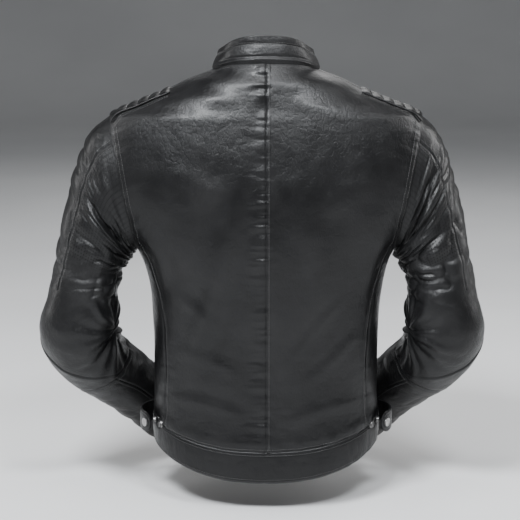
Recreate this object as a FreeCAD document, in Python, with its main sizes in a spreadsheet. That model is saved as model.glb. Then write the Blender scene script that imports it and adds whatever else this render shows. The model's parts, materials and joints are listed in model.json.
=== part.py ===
import FreeCAD
import Part
import Sketcher
import math
import os
import re

# A leather riding jacket, as it hangs on a body.  +Z is up, the wearer faces +Y, and the
# wearer's right is +X.  The origin lies in the middle of the neck opening, level with the
# centre-back neck seam.  All lengths are in millimetres.

Vector = FreeCAD.Vector
DOC = FreeCAD.newDocument("RidingJacket")
SHEET = DOC.addObject("Spreadsheet::Sheet", "Sizes")

# ---------------------------------------------------------------- driving dimensions

SIZES = [
    ("leather_thick", 1.3, "cowhide of the shell"),
    ("lining_out", 2.0, "outer face of the lining, below the leather's outer face"),
    ("lining_in", 2.6, "inner face of the lining"),
    ("armour_out", 3.2, "outer face of the protectors"),
    ("armour_in", 10.2, "inner face of the protectors"),
    ("quilt_proud", 4.0, "how far the padded shoulder panels stand out"),
    ("band_proud", 1.2, "how far the waistband stands out"),
    ("band_thick", 2.8, "folded leather of the waistband"),
    ("squareness", 2.3, "power of the rounded body section"),
    ("front_rake", 0.0713, "forward slope of the straight front edge"),
    ("front_top_depth", 88.0, "front depth where the straight front edge starts"),
    ("front_top_height", -78.0, "height where the straight front edge starts"),
    ("neck_half_width", 80.0, "neck opening, half its width"),
    ("neck_half_depth", 83.0, "neck opening, half its depth along its slope"),
    ("neck_centre", 8.5, "neck opening, its centre in front of the origin"),
    ("neck_low", -33.0, "neck opening, height of its centre"),
    ("neck_tilt", 23.0, "forward slope of the neck, in degrees"),
    ("collar_rise_back", 40.0, "collar height at the back"),
    ("collar_rise_side", 27.0, "collar height at the sides"),
    ("collar_rise_front", 32.0, "collar height at the front"),
    ("collar_taper", 0.875, "collar top against collar base"),
    ("armhole_top_x", 231.0, "highest point of the armhole, sideways"),
    ("armhole_top_z", -78.0, "highest point of the armhole, height"),
    ("armhole_low_x", 192.0, "lowest point of the armhole, sideways"),
    ("armhole_low_z", -287.0, "lowest point of the armhole, height"),
    ("armhole_gap", 1.0, "clear of the armhole seam, where the sleeve starts"),
    ("seam_side_back", -60.0, "seam between back panel and side panel"),
    ("seam_side_front", 45.0, "seam between side panel and front panel"),
    ("seam_shoulder", -12.0, "shoulder seam"),
    ("quilt_inner", 141.0, "inner edge of the quilted shoulder"),
    ("quilt_rear", -40.0, "rear edge of the quilted shoulder"),
    ("quilt_front", 55.0, "front edge of the quilted shoulder"),
    ("waist_side", -541.0, "waistband seam at the sides"),
    ("waist_drop", 34.0, "how much lower the waistband seam is at the back"),
    ("hem_side", -581.0, "hem at the sides"),
    ("hem_drop", 40.0, "how much lower the hem is at the back"),
    ("drop_power", 1.9, "curve of the dropped back"),
    ("hip_depth", 115.0, "back depth at the hem"),
    ("front_gap", 14.0, "width of the front opening, which the zip fills"),
    ("facing", 27.0, "inner edge of the facing beside the zip"),
    ("band_split", 18.0, "joint of the waistband at the side"),
    ("zip_low", -562.0, "lower end of the front zip, height"),
    ("zip_long", 478.0, "front zip, along its rake"),
    ("flap_half", 19.0, "half width of the wind flap"),
    ("flap_thick", 1.0, "wind flap"),
    ("flap_depth", 6.0, "front face of the wind flap, below the leather"),
    ("tape_edge", 3.2, "inner edge of a zip tape"),
    ("tape_width", 16.0, "visible and sewn width of a zip tape"),
    ("tape_depth", 2.9, "back face of the tape, below the leather"),
    ("tape_thick", 0.7, "zip tape"),
    ("tooth_edge", 0.8, "inner edge of the teeth"),
    ("tooth_width", 3.4, "teeth, across"),
    ("tooth_rail", 1.4, "moulded rail that carries the teeth"),
    ("tooth_depth", 3.5, "back face of the teeth, below the leather"),
    ("tooth_thick", 2.5, "teeth, front to back"),
    ("tooth_long", 3.4, "one tooth, along the zip"),
    ("tooth_pitch", 6.0, "spacing of the teeth on one side"),
    ("slider_wide", 12.0, "front slider, across"),
    ("slider_long", 17.0, "front slider, along the zip"),
    ("slider_face", 1.6, "front plate of the slider"),
    ("slider_back", 1.2, "rear plate of the slider"),
    ("slider_front_gap", 0.55, "underside of the slider's front plate, below the leather"),
    ("slider_rear_gap", 3.9, "upper side of the slider's rear plate, below the leather"),
    ("post_wide", 0.9, "wedge that joins the two plates"),
    ("post_long", 6.0, "wedge, along the zip"),
    ("lug_wide", 1.3, "one lug of the puller's bail"),
    ("lug_inner", 2.1, "inner face of a lug"),
    ("lug_rise", 3.0, "pin centre above the slider"),
    ("lug_long", 4.4, "lug, along the zip"),
    ("pin_radius", 0.8, "pin of the bail"),
    ("eye_radius", 2.1, "outside of the puller's eye"),
    ("eye_bore", 1.15, "bore of the puller's eye"),
    ("eye_wide", 3.2, "puller's eye, along the pin"),
    ("pull_long", 34.0, "puller, from pin to end"),
    ("pull_wide", 8.0, "puller's grip, across"),
    ("pull_neck", 9.0, "puller's neck, from the pin"),
    ("pull_thick", 1.6, "puller, thickness"),
    ("pull_hole", 2.0, "hole in the puller's grip, radius"),
    ("small_wide", 9.0, "pocket and cuff slider, across"),
    ("small_long", 13.0, "pocket and cuff slider, along"),
    ("small_face", 1.5, "pocket and cuff slider, its front plate"),
    ("small_tape_lift", 0.7, "underside of a small tape above the leather's plane"),
    ("slide_clear", 0.35, "small slider above its teeth"),
    ("small_channel", 4.6, "channel under the small slider, across"),
    ("small_skirt", 1.1, "sides of the small slider, below its plate"),
    ("pocket_zip_long", 135.0, "hand pocket opening"),
    ("cuff_zip_long", 84.0, "cuff opening"),
    ("small_tape_wide", 13.0, "tape of a pocket or cuff zip"),
    ("small_tape_thick", 0.8, "tape of a pocket or cuff zip"),
    ("small_chain_wide", 3.8, "closed teeth of a small zip"),
    ("small_chain_rise", 1.0, "closed teeth of a small zip above the tape"),
    ("small_chain_pitch", 3.0, "spacing of the small teeth"),
    ("small_tooth", 1.7, "one small tooth, along the zip"),
    ("pocket_top_x", 80.0, "upper end of the pocket zip, sideways"),
    ("pocket_top_z", -402.0, "upper end of the pocket zip, height"),
    ("pocket_low_x", 112.0, "lower end of the pocket zip, sideways"),
    ("pocket_low_z", -522.0, "lower end of the pocket zip, height"),
    ("snap_radius", 6.5, "snap cap"),
    ("snap_rise", 2.2, "snap cap above the leather"),
    ("stud_radius", 4.6, "snap stud on the waistband and the collar"),
    ("stud_base", 6.4, "flange of the stud"),
    ("stud_flange", 0.9, "thickness of the stud's flange"),
    ("stud_rise", 3.4, "height of the stud"),
    ("collar_tab_gap", 2.8, "room between the collar and its tab, for the stud"),
    ("collar_stud_rise", 1.6, "height of the collar's stud"),
    ("tab_radius", 46.5, "curve of a waist tab, inner face"),
    ("tab_thick", 3.0, "waist tab, two layers of leather"),
    ("tab_high", 32.0, "waist tab, its width"),
    ("tab_arc", 99.0, "angle that a waist tab spans"),
    ("tab_centre_x", 145.0, "centre of the tab's curve, sideways"),
    ("tab_centre_y", -14.0, "centre of the tab's curve, front to back"),
    ("tab_low_z", -564.0, "lower edge of a waist tab"),
    ("collar_tab_radius", 400.0, "curve of the collar tab, inner face"),
    ("collar_tab_thick", 2.4, "collar tab"),
    ("collar_tab_high", 18.0, "collar tab, its width"),
    ("collar_tab_arc", 9.0, "angle that the collar tab spans"),
    ("collar_tab_share", 0.56, "share of the collar tab on the wearer's left"),
    ("tab_snap_angle", 14.0, "angle from a waist tab's free end to its snap"),
    ("first_stud_y", -30.0, "stud on the waistband that the tab snaps to"),
    ("second_stud_y", -52.0, "stud for a tighter waist"),
    ("stud_lift", 0.5, "stud's flange above the band, whose face is curved"),
    ("cuff_zip_lift", 0.6, "cuff zip above the sleeve, whose face is curved"),
    ("collar_tab_level", 0.62, "share of the collar's height where its tab lies"),
    ("collar_snap_share", 0.17, "share of the collar tab from its free end to its snap"),
    ("collar_stud_lift", 0.8, "collar stud above the collar, whose face is curved"),
    ("stop_wide", 9.0, "lower stop of the front zip, across"),
    ("stop_deep", 3.2, "lower stop of the front zip, front to back"),
    ("stop_long", 7.0, "lower stop of the front zip, along it"),
    ("stop_back", 3.9, "back face of the lower stop, below the leather"),
    ("top_stop_wide", 3.4, "an upper stop, across"),
    ("top_stop_deep", 3.0, "an upper stop, front to back"),
    ("top_stop_long", 2.4, "an upper stop, along the zip"),
    ("top_stop_back", 3.7, "back face of an upper stop, below the leather"),
    ("stop_clear", 0.3, "gap between the teeth and an upper stop"),
    ("loop_radius", 1.6, "hanger loop, half its cord"),
    ("loop_span", 56.0, "hanger loop, between its ends"),
    ("loop_sag", 16.0, "hanger loop, its drop"),
    ("elbow_top", 4.9, "ring where the elbow leather starts"),
    ("elbow_low", 8.1, "ring where the elbow leather ends"),
    ("sleeve_end", 11.0, "ring of the cuff"),
    ("seam_kerf", 0.35, "angle left between two sleeve panels, in degrees"),
]

# Horizontal sections of the body: height, half width, back depth.
BODY_SECTIONS = [
    (14, 62, 54), (0, 70, 68), (-12, 80, 77), (-26, 116, 86), (-43, 150, 92), (-62, 195, 98),
    (-78, 231, 104), (-130, 252, 117), (-183, 250, 125), (-240, 222, 128), (-287, 192, 127),
    (-342, 177, 121), (-400, 173, 112), (-478, 173, 108), (-560, 173, 112), (-640, 172, 117),
]
BODY_COLUMNS = ("height", "half_width", "back_depth")

# Rings of a sleeve, from the armhole to the cuff: outermost point (x, z), innermost point
# (x, z), middle (y), twist, half depth, and how much further out the wearer's left arm is.
SLEEVE_RINGS = [
    (231, -78, 192, -287, -7, 0, 68, 0), (258, -104, 195, -291, -6, 0, 68, 4),
    (277, -150, 198, -297, -6, -2, 67, 7), (293, -210, 204, -308, -8, -5, 65, 9),
    (308, -285, 211, -327, -12, -7, 62, 10), (320, -345, 214, -360, -18, -6, 60, 11),
    (334, -400, 214, -392, -22, 8, 60, 12), (326, -445, 212, -415, -10, 25, 58, 12),
    (300, -492, 205, -440, 20, 34, 54, 12), (258, -540, 182, -473, 68, 40, 50, 10),
    (222, -583, 152, -520, 112, 40, 47, 8), (197, -620, 129, -560, 145, 40, 44, 6),
]
RING_COLUMNS = ("outer_x", "outer_z", "inner_x", "inner_z", "middle_y", "twist",
                "half_depth", "left_reach")

RING_POINTS = 36
HALF_POINTS = 23
RIGHT, LEFT = 1, -1
SIDES = (("left", LEFT), ("right", RIGHT))


def fill_sheet():
    """Write every driving dimension into the sheet, with its alias and its meaning."""
    for row, (alias, value, meaning) in enumerate(SIZES, start=2):
        SHEET.set("A%d" % row, alias)
        SHEET.set("B%d" % row, str(value))
        SHEET.set("C%d" % row, meaning)
        SHEET.setAlias("B%d" % row, alias)
    fill_table("section", BODY_SECTIONS, BODY_COLUMNS, "EFG")
    fill_table("ring", SLEEVE_RINGS, RING_COLUMNS, "IJKLMNOP")
    DOC.recompute()


def fill_table(name, rows, columns, letters):
    """Write one table of sections, with an alias such as ring_three_... for each cell."""
    for index, row in enumerate(rows):
        for column, letter, value in zip(columns, letters, row):
            cell = "%s%d" % (letter, index + 2)
            SHEET.set(cell, str(value))
            SHEET.setAlias(cell, "%s_%s_row_%d" % (name, column, index))


def size(alias):
    return float(SHEET.get(alias))


def table(name, count, column):
    return [size("%s_%s_row_%d" % (name, column, index)) for index in range(count)]


# ---------------------------------------------------------------- curves and sections

def curve_value(xs, ys, x):
    """A smooth curve through the points (xs rising), with the end slopes held."""
    last = len(xs) - 1
    x = min(max(x, xs[0]), xs[last])
    k = 0
    while k < last - 1 and x > xs[k + 1]:
        k += 1
    step = xs[k + 1] - xs[k]
    u = (x - xs[k]) / step

    def slope(i):
        low = max(i - 1, 0)
        high = min(i + 1, last)
        return (ys[high] - ys[low]) / (xs[high] - xs[low])

    start = ys[k] * (1 + 2 * u) * (1 - u) ** 2 + slope(k) * step * u * (1 - u) ** 2
    finish = ys[k + 1] * u * u * (3 - 2 * u) - slope(k + 1) * step * u * u * (1 - u)
    return start + finish


fill_sheet()
SECTION_HEIGHTS = table("section", len(BODY_SECTIONS), "height")
SECTION_RISING = SECTION_HEIGHTS[::-1]
SECTION_WIDTHS = table("section", len(BODY_SECTIONS), "half_width")[::-1]
SECTION_BACKS = table("section", len(BODY_SECTIONS), "back_depth")[::-1]
RING_VALUES = {column: table("ring", len(SLEEVE_RINGS), column) for column in RING_COLUMNS}


def steps(first, last, count):
    return [first + (last - first) * k / (count - 1) for k in range(count)]


def half_width(z):
    return curve_value(SECTION_RISING, SECTION_WIDTHS, z)


def back_depth(z):
    return curve_value(SECTION_RISING, SECTION_BACKS, z)


def front_depth(z):
    """The front is straight below the collar bone, so that the zip lies straight."""
    below = size("front_top_height") - z
    if below > 0:
        return size("front_top_depth") + size("front_rake") * below
    return size("front_top_depth") + below * (0.12 - 0.0022 * below)


def wall(depth_at, z, out):
    """A depth moved out by a thickness that is measured square to the sloping wall."""
    slope = (depth_at(z + 2) - depth_at(z - 2)) / 4
    return depth_at(z) + out * math.sqrt(1 + slope * slope)


def rounded(angle, wide, depth):
    """The point at this angle of a rounded section with these half sizes."""
    power = size("squareness")
    sides = abs(math.cos(angle) / wide) ** power + abs(math.sin(angle) / depth) ** power
    radius = sides ** (-1 / power)
    return radius * math.cos(angle), radius * math.sin(angle)


def body_point(angle, z, out=0.0):
    """A point of the body section at this height; angle 0 is +X, 90 degrees the front."""
    wide = wall(half_width, z, out)
    depth = wall(front_depth if math.sin(angle) > 0 else back_depth, z, out)
    x, y = rounded(angle, wide, depth)
    return Vector(x, y, z)


def body_fill(x, y, z):
    """Under 1 inside the body's outer face, 1 on it, over 1 outside."""
    depth = front_depth(z) if y > 0 else back_depth(z)
    power = size("squareness")
    return abs(x / half_width(z)) ** power + abs(y / depth) ** power


def closed_curve(points):
    """A smooth closed curve; even parameters keep lofts over many of them light."""
    curve = Part.BSplineCurve()
    curve.interpolate(Points=points, PeriodicFlag=True,
                      Parameters=[float(k) for k in range(len(points) + 1)])
    return Part.Wire([curve.toShape()])


def spline_face(grid):
    surface = Part.BSplineSurface()
    surface.interpolate(grid)
    return surface.toShape()


def matching_edge(edge, candidates):
    middle = edge.valueAt((edge.FirstParameter + edge.LastParameter) / 2)
    return min(candidates, key=lambda other: middle.distanceToPoint(
        other.valueAt((other.FirstParameter + other.LastParameter) / 2)))


def thick_patch(point_at, us, vs, outer, inner):
    """A curved sheet between two offsets of the same surface, closed along its edges."""
    face = spline_face([[point_at(u, v, outer) for v in vs] for u in us])
    back = spline_face([[point_at(u, v, inner) for v in vs] for u in us])
    sides = [Part.makeRuledSurface(edge, matching_edge(edge, back.Edges)) for edge in face.Edges]
    shell = Part.Shell([face, back] + sides)
    shell.sewShape()
    solid = Part.Solid(shell)
    if solid.Volume < 0:
        solid.reverse()
    return solid


def mirrored(shape):
    return shape.mirror(Vector(0, 0, 0), Vector(1, 0, 0))


def half_shell(outer, inner):
    """The right half of the body between two offsets of its surface, neck to hem."""
    middles = [(a + b) / 2 for a, b in zip(SECTION_HEIGHTS, SECTION_HEIGHTS[1:])]
    heights = sorted(SECTION_HEIGHTS + middles, reverse=True)
    angles = steps(-math.pi / 2, math.pi / 2, HALF_POINTS)
    return thick_patch(lambda z, angle, out: body_point(angle, z, out), heights, angles, outer, inner)


def both_halves(shape):
    """A piece that crosses the centre of the back, made whole from its right half."""
    return shape.fuse(mirrored(shape)).removeSplitter()


def dropped(side_alias, drop_alias, y):
    """Height of the waist seam or the hem: level in front, dropped towards the back."""
    back = max(-y, 0) / size("hip_depth")
    return size(side_alias) - size(drop_alias) * back ** size("drop_power")


# ---------------------------------------------------------------- cutting regions

FAR = 700.0


def prism(points, direction):
    """A straight block over a closed outline."""
    return Part.Face(Part.makePolygon(points + [points[0]])).extrude(direction)


def below(side_alias, drop_alias):
    """Everything under the waist seam or the hem."""
    edge = [Vector(-FAR, y, dropped(side_alias, drop_alias, y)) for y in range(-150, 1, 10)]
    curve = Part.BSplineCurve()
    curve.interpolate(edge)
    corners = [Vector(-FAR, 200, edge[-1].z), Vector(-FAR, 200, -FAR), Vector(-FAR, -150, -FAR)]
    outline = Part.Wire([curve.toShape(), Part.makePolygon([edge[-1]] + corners + [edge[0]])])
    return Part.Face(outline).extrude(Vector(2 * FAR, 0, 0))


def neck_axes():
    """Centre of the neck opening, its axis and its direction of depth."""
    tilt = math.radians(size("neck_tilt"))
    centre = Vector(0, size("neck_centre"), size("neck_low"))
    return centre, Vector(0, math.sin(tilt), math.cos(tilt)), Vector(0, math.cos(tilt), -math.sin(tilt))


def neck_core():
    """The column that the neck opening is cut with; it leans forward as a neck does."""
    centre, axis, depth = neck_axes()
    wide, deep = size("neck_half_width"), size("neck_half_depth")
    turns = [rounded(2 * math.pi * k / RING_POINTS, wide, deep) for k in range(RING_POINTS)]
    rim = [centre - axis * 60 + Vector(x, 0, 0) + depth * y for x, y in turns]
    return Part.Face(closed_curve(rim)).extrude(axis * 300)


def armhole_plane_x(z):
    rise = size("armhole_top_z") - size("armhole_low_z")
    run = size("armhole_top_x") - size("armhole_low_x")
    return size("armhole_low_x") + run * (z - size("armhole_low_z")) / rise


def beyond_armhole():
    """Everything outside the plane that the right armhole seam lies in."""
    low = size("armhole_low_z") - 12
    corners = [(armhole_plane_x(low), low), (FAR, low), (FAR, 60), (armhole_plane_x(60), 60)]
    return prism([Vector(x, -FAR / 2, z) for x, z in corners], Vector(0, FAR, 0))


def span(x0, x1, y0, y1, z0, z1):
    """An upright box between two places along each axis."""
    return Part.makeBox(x1 - x0, y1 - y0, z1 - z0, Vector(x0, y0, z0))


# ---------------------------------------------------------------- soft pieces

def add_piece(label, shape):
    piece = DOC.addObject("Part::Feature", label)
    piece.Label = label
    piece.Shape = shape
    piece.Placement = FreeCAD.Placement()
    return piece


def add_pair(name, shape):
    """The same piece on both sides; the shape given is the wearer's right one."""
    add_piece("right_" + name, shape)
    add_piece("left_" + name, mirrored(shape))


def side_outline(side_x, points):
    """A block over an outline of the side view, given as (y, z), outwards from side_x."""
    return prism([Vector(side_x, y, z) for y, z in points], Vector(400, 0, 0))


def build_body_panels():
    """The leather shell: back, sides and fronts, cut along its real seams."""
    shell = half_shell(0.0, -size("leather_thick"))
    shell = shell.cut([neck_core(), beyond_armhole(), below("waist_side", "waist_drop")])
    quilt_zone = span(size("quilt_inner"), 400, size("quilt_rear"), size("quilt_front"), -170, 100)
    shoulder, mid = size("seam_shoulder"), -200
    back_seam, front_seam = size("seam_side_back"), size("seam_side_front")
    back_zone = side_outline(-1, [(-200, 100), (shoulder, 100), (shoulder, mid),
                                  (back_seam, mid), (back_seam, -FAR), (-200, -FAR)])
    front_zone = side_outline(size("front_gap") / 2, [(200, 100), (shoulder, 100), (shoulder, mid),
                              (front_seam, mid), (front_seam, -FAR), (200, -FAR)])
    add_pair("back_panel", shell.common(back_zone).cut(quilt_zone))
    add_pair("front_panel", shell.common(front_zone).cut(quilt_zone))
    add_pair("side_panel", shell.common(span(60, 400, back_seam, front_seam, -FAR, mid)))
    quilt = half_shell(size("quilt_proud"), -size("leather_thick"))
    add_pair("shoulder_quilt", quilt.common(quilt_zone).cut(beyond_armhole()))


def build_lining():
    """A thin lining inside the shell; it stops at the facings beside the zip."""
    shell = half_shell(-size("lining_out"), -size("lining_in"))
    shell = shell.cut([neck_core(), beyond_armhole(), below("waist_side", "waist_drop")])
    shoulder = size("seam_shoulder")
    add_piece("back_lining", both_halves(shell.common(span(-1, 400, -200, shoulder, -FAR, 100))))
    add_pair("front_lining", shell.common(span(size("facing"), 400, shoulder, 200, -FAR, 100)))


def build_protectors():
    """Foam protectors in their pockets behind the lining."""
    shell = half_shell(-size("armour_out"), -size("armour_in"))
    add_piece("back_protector", both_halves(shell.common(span(-1, 105, -200, -70, -440, -110))))
    pads = shell.common(span(150, 400, -42, 42, -150, 0))
    add_pair("shoulder_armour", pads.cut(beyond_armhole()))


def build_waistband():
    shell = half_shell(size("band_proud"), size("band_proud") - size("band_thick"))
    band = shell.common(below("waist_side", "waist_drop")).cut(below("hem_side", "hem_drop"))
    split = size("band_split")
    add_piece("waistband_back", both_halves(band.common(span(-1, 400, -300, split, -FAR, 0))))
    add_pair("waistband_front", band.common(span(size("front_gap") / 2, 400, split, 250, -FAR, 0)))


def neckline(angle):
    """The point of the neck seam at this angle: where the neck column leaves the body."""
    centre, axis, depth = neck_axes()
    x, y = rounded(angle, size("neck_half_width"), size("neck_half_depth"))
    start = centre + Vector(x, 0, 0) + depth * y
    low, high = -60.0, 80.0
    for _ in range(30):
        middle = (low + high) / 2
        point = start + axis * middle
        if body_fill(point.x, point.y, point.z) < 1:
            low = middle
        else:
            high = middle
    return start + axis * low


def collar_rise(angle):
    """Collar height round the neck: tallest at the back."""
    back = max(-math.sin(angle), 0)
    front = max(math.sin(angle), 0)
    side = size("collar_rise_side")
    return (side + (size("collar_rise_back") - side) * back ** 2
            + (size("collar_rise_front") - side) * front ** 2)


def collar_point(angle, v, out):
    """A point of the stand collar; v runs from the neck seam (0) to the top edge (1)."""
    seam = neckline(angle)
    taper = 1 + (size("collar_taper") - 1) * v * (1.25 - 0.25 * v)
    forward = size("neck_centre")
    outward = Vector(math.cos(angle) * size("neck_half_depth"),
                     math.sin(angle) * size("neck_half_width"), 0).normalize()
    point = Vector(seam.x * taper, forward + (seam.y - forward) * taper, seam.z)
    return point + outward * out + Vector(0, 0, v * collar_rise(angle))


def build_collar():
    """Stand collar: an outer shell and its facing, open at the centre front."""
    half_gap = math.atan(size("front_gap") / 2 / size("neck_half_depth"))
    angles = steps(math.pi / 2 + half_gap, math.pi * 5 / 2 - half_gap, 33)
    rows = steps(0.0, 1.0, 4)
    thick = size("leather_thick")
    add_piece("collar_shell", thick_patch(collar_point, angles, rows, thick, 0.0))
    add_piece("collar_facing", thick_patch(collar_point, angles, rows, -0.5, -0.5 - thick))


def build_hanger_loop():
    """A cord loop at the back of the neck, for a hook."""
    half, sag = size("loop_span") / 2, size("loop_sag")
    anchor = collar_point(-math.pi / 2, 0.55, -size("leather_thick"))
    y, top = anchor.y + 4.5, anchor.z
    path = Part.BSplineCurve()
    path.interpolate([Vector(x * half, y + 3 * x * x, top - sag * (1 - x * x))
                      for x in steps(-1, 1, 7)])
    wire = Part.Wire([path.toShape()])
    circle = Part.makeCircle(size("loop_radius"), path.value(path.FirstParameter),
                             path.tangent(path.FirstParameter)[0])
    add_piece("hanger_loop", wire.makePipeShell([Part.Wire([circle])], True, True))


# ---------------------------------------------------------------- sleeves

def ring_value(column, s):
    values = RING_VALUES[column]
    return curve_value(list(range(len(values))), values, s)


def ring_frame(side, s):
    """Centre, outward axis, forward axis and the two half sizes of a sleeve ring."""
    reach = ring_value("left_reach", s) if side == LEFT else 0.0
    outer = Vector(ring_value("outer_x", s) + reach, 0, ring_value("outer_z", s))
    inner = Vector(ring_value("inner_x", s) + reach, 0, ring_value("inner_z", s))
    across = outer - inner
    half = across.Length / 2
    across.normalize()
    square = Vector(-across.z, 0, across.x)
    twist = math.radians(ring_value("twist", s))
    forward = Vector(0, math.cos(twist), 0) + square * math.sin(twist)
    centre = (outer + inner) * 0.5 + Vector(0, ring_value("middle_y", s), 0)
    centre = centre - square * (size("armhole_gap") * max(1 - s, 0))
    return centre, across, forward, half, ring_value("half_depth", s)


def armhole_stretch(across_part, forward_part):
    """Where the armhole plane meets the body, against the plain ellipse of the first ring."""
    centre, across, forward, half, deep = ring_frame(RIGHT, 0)
    heading = across * (half * across_part) + forward * (deep * forward_part)
    low, high = 0.5, 1.6
    for _ in range(24):
        middle = (low + high) / 2
        point = centre + heading * middle
        if body_fill(point.x, point.y, point.z) < 1:
            low = middle
        else:
            high = middle
    return low


def sleeve_point(side, s, turn, out):
    """A point of a sleeve; turn 0 is its outer side, 90 the front and 270 the back."""
    centre, across, forward, half, deep = ring_frame(side, s)
    angle = math.radians(turn)
    fade = max(1 - s / 3.5, 0) ** 2
    stretch = 1.0
    if fade > 0:
        stretch += fade * (armhole_stretch(math.cos(angle), math.sin(angle)) - 1)
    point = centre + across * (math.cos(angle) * (half * stretch + out))
    point = point + forward * (math.sin(angle) * (deep * stretch + out))
    return Vector(side * point.x, point.y, point.z)


def sleeve_sheet(side, first, last, turn_a, turn_b, outer, inner):
    """A panel of a sleeve between two rings and two seams."""
    kerf = size("seam_kerf")
    turns = steps(turn_a + kerf, turn_b - kerf, 2 + int((turn_b - turn_a) / 12))
    rings = steps(first, last, 2 + int(round((last - first) * 3)))
    return thick_patch(lambda s, turn, out: sleeve_point(side, s, turn, out),
                       rings, turns, outer, inner)


def tube(side, first, last, outer, inner):
    """A whole turn of a sleeve, as two half shells."""
    halves = [sleeve_sheet(side, first, last, start, start + 180, outer, inner)
              for start in (0, 180)]
    return Part.makeCompound(halves)


def build_sleeve(name, side):
    thick = size("leather_thick")
    top, low, end = size("elbow_top"), size("elbow_low"), size("sleeve_end")
    joint = 0.02
    panels = (
        ("sleeve_top_panel", 0, top - joint, -48, 62),
        ("sleeve_back_panel", 0, top - joint, 200, 312),
        ("sleeve_under_panel", 0, top - joint, 62, 200),
        ("forearm_outer_panel", low + joint, end, -110, 70),
        ("forearm_inner_panel", low + joint, end, 70, 250),
    )
    for label, first, last, turn_a, turn_b in panels:
        shape = sleeve_sheet(side, first, last, turn_a, turn_b, 0, -thick)
        add_piece("%s_%s" % (name, label), shape)
    add_piece(name + "_elbow_leather", tube(side, top, low, 0, -thick))
    lining_out, lining_in = -size("lining_out"), -size("lining_in")
    add_piece(name + "_sleeve_lining", tube(side, 0, top - joint, lining_out, lining_in))
    add_piece(name + "_forearm_lining", tube(side, low + joint, end, lining_out, lining_in))
    armour_out, armour_in = -size("armour_out"), -size("armour_in")
    armour = sleeve_sheet(side, low + 0.1, low + 1.5, -100, 10, armour_out, armour_in)
    add_piece(name + "_forearm_armour", armour)


# ---------------------------------------------------------------- sketched hardware

def new_body(label, placement):
    body = DOC.addObject("PartDesign::Body", label)
    body.Label = label
    body.Placement = placement
    return body


def new_sketch(body, role, name):
    sketch = body.newObject("Sketcher::SketchObject", name)
    plane = [feature for feature in body.Origin.OriginFeatures if feature.Role == role][0]
    sketch.AttachmentSupport = [(plane, "")]
    sketch.MapMode = "FlatFace"
    return sketch


def bound(formula):
    """A formula of plain aliases as the expression that a feature needs."""
    return re.sub(r"[a-z_]+", r"Sizes.\g<0>", formula)


def amount(formula):
    return float(SHEET.evalExpression(formula))


def bind(sketch, kind, items, formula, name):
    """Add one driving constraint and tie it to the sheet."""
    index = sketch.addConstraint(Sketcher.Constraint(kind, *items, amount(formula)))
    sketch.renameConstraint(index, name)
    sketch.setExpression("Constraints." + name, bound(formula))


def rectangle(sketch, name, left, right, bottom, top):
    """A rectangle whose four sides stand at formulas of the sheet."""
    x0, x1, y0, y1 = [amount(formula) for formula in (left, right, bottom, top)]
    corners = [Vector(x0, y0, 0), Vector(x1, y0, 0), Vector(x1, y1, 0), Vector(x0, y1, 0)]
    first = sketch.GeometryCount
    for k in range(4):
        sketch.addGeometry(Part.LineSegment(corners[k], corners[(k + 1) % 4]), False)
    for k in range(4):
        sketch.addConstraint(Sketcher.Constraint("Coincident", first + k, 2, first + (k + 1) % 4, 1))
    for k in (0, 2):
        sketch.addConstraint(Sketcher.Constraint("Horizontal", first + k))
        sketch.addConstraint(Sketcher.Constraint("Vertical", first + k + 1))
    bind(sketch, "DistanceX", (first, 1), left, name + "_left")
    bind(sketch, "DistanceY", (first, 1), bottom, name + "_bottom")
    bind(sketch, "DistanceX", (first + 2, 1), right, name + "_right")
    bind(sketch, "DistanceY", (first + 2, 1), top, name + "_top")


def circle(sketch, name, x, y, radius):
    """A circle at formulas of the sheet."""
    centre = Vector(amount(x), amount(y), 0)
    index = sketch.addGeometry(Part.Circle(centre, Vector(0, 0, 1), amount(radius)), False)
    bind(sketch, "Radius", (index,), radius, name + "_radius")
    bind(sketch, "DistanceX", (index, 3), x, name + "_x")
    bind(sketch, "DistanceY", (index, 3), y, name + "_y")


def extrude(kind, body, sketch, name, length, centred=False, reverse=False):
    """A Pad or a Pocket of one sketch."""
    feature = body.newObject("PartDesign::" + kind, name)
    feature.Profile = sketch
    feature.setExpression("Length", bound(length))
    feature.Midplane = centred
    feature.Reversed = reverse
    return feature


def block(body, name, plane, edges, length, centred=False, reverse=False, kind="Pad"):
    """A Pad or a Pocket over one rectangle."""
    sketch = new_sketch(body, plane, name + "Outline")
    rectangle(sketch, "edge", *edges)
    return extrude(kind, body, sketch, name, length, centred, reverse)


def disc(body, name, plane, place, length, centred=False, reverse=False, kind="Pad"):
    """A Pad or a Pocket over one circle."""
    sketch = new_sketch(body, plane, name + "Outline")
    circle(sketch, "rim", *place)
    return extrude(kind, body, sketch, name, length, centred, reverse)


def repeat(body, feature, name, pitch, count):
    """Repeat a tooth along the zip."""
    row = body.newObject("PartDesign::LinearPattern", name)
    row.Originals = [feature]
    row.Direction = (feature.Profile[0], ["V_Axis"])
    row.Mode = "Spacing"
    row.setExpression("Offset", bound(pitch))
    row.Occurrences = count
    body.Tip = row


def frame_at(point, along, outward):
    """A placement whose Z runs along a zip and whose Y points out of the leather."""
    z_axis = Vector(along).normalize()
    x_axis = Vector(outward).cross(z_axis).normalize()
    y_axis = z_axis.cross(x_axis)
    return FreeCAD.Placement(point, FreeCAD.Rotation(x_axis, y_axis, z_axis, "ZXY"))


def shifted(frame, x, y, z):
    return frame.multiply(FreeCAD.Placement(Vector(x, y, z), FreeCAD.Rotation()))


# ---------------------------------------------------------------- zips

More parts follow.
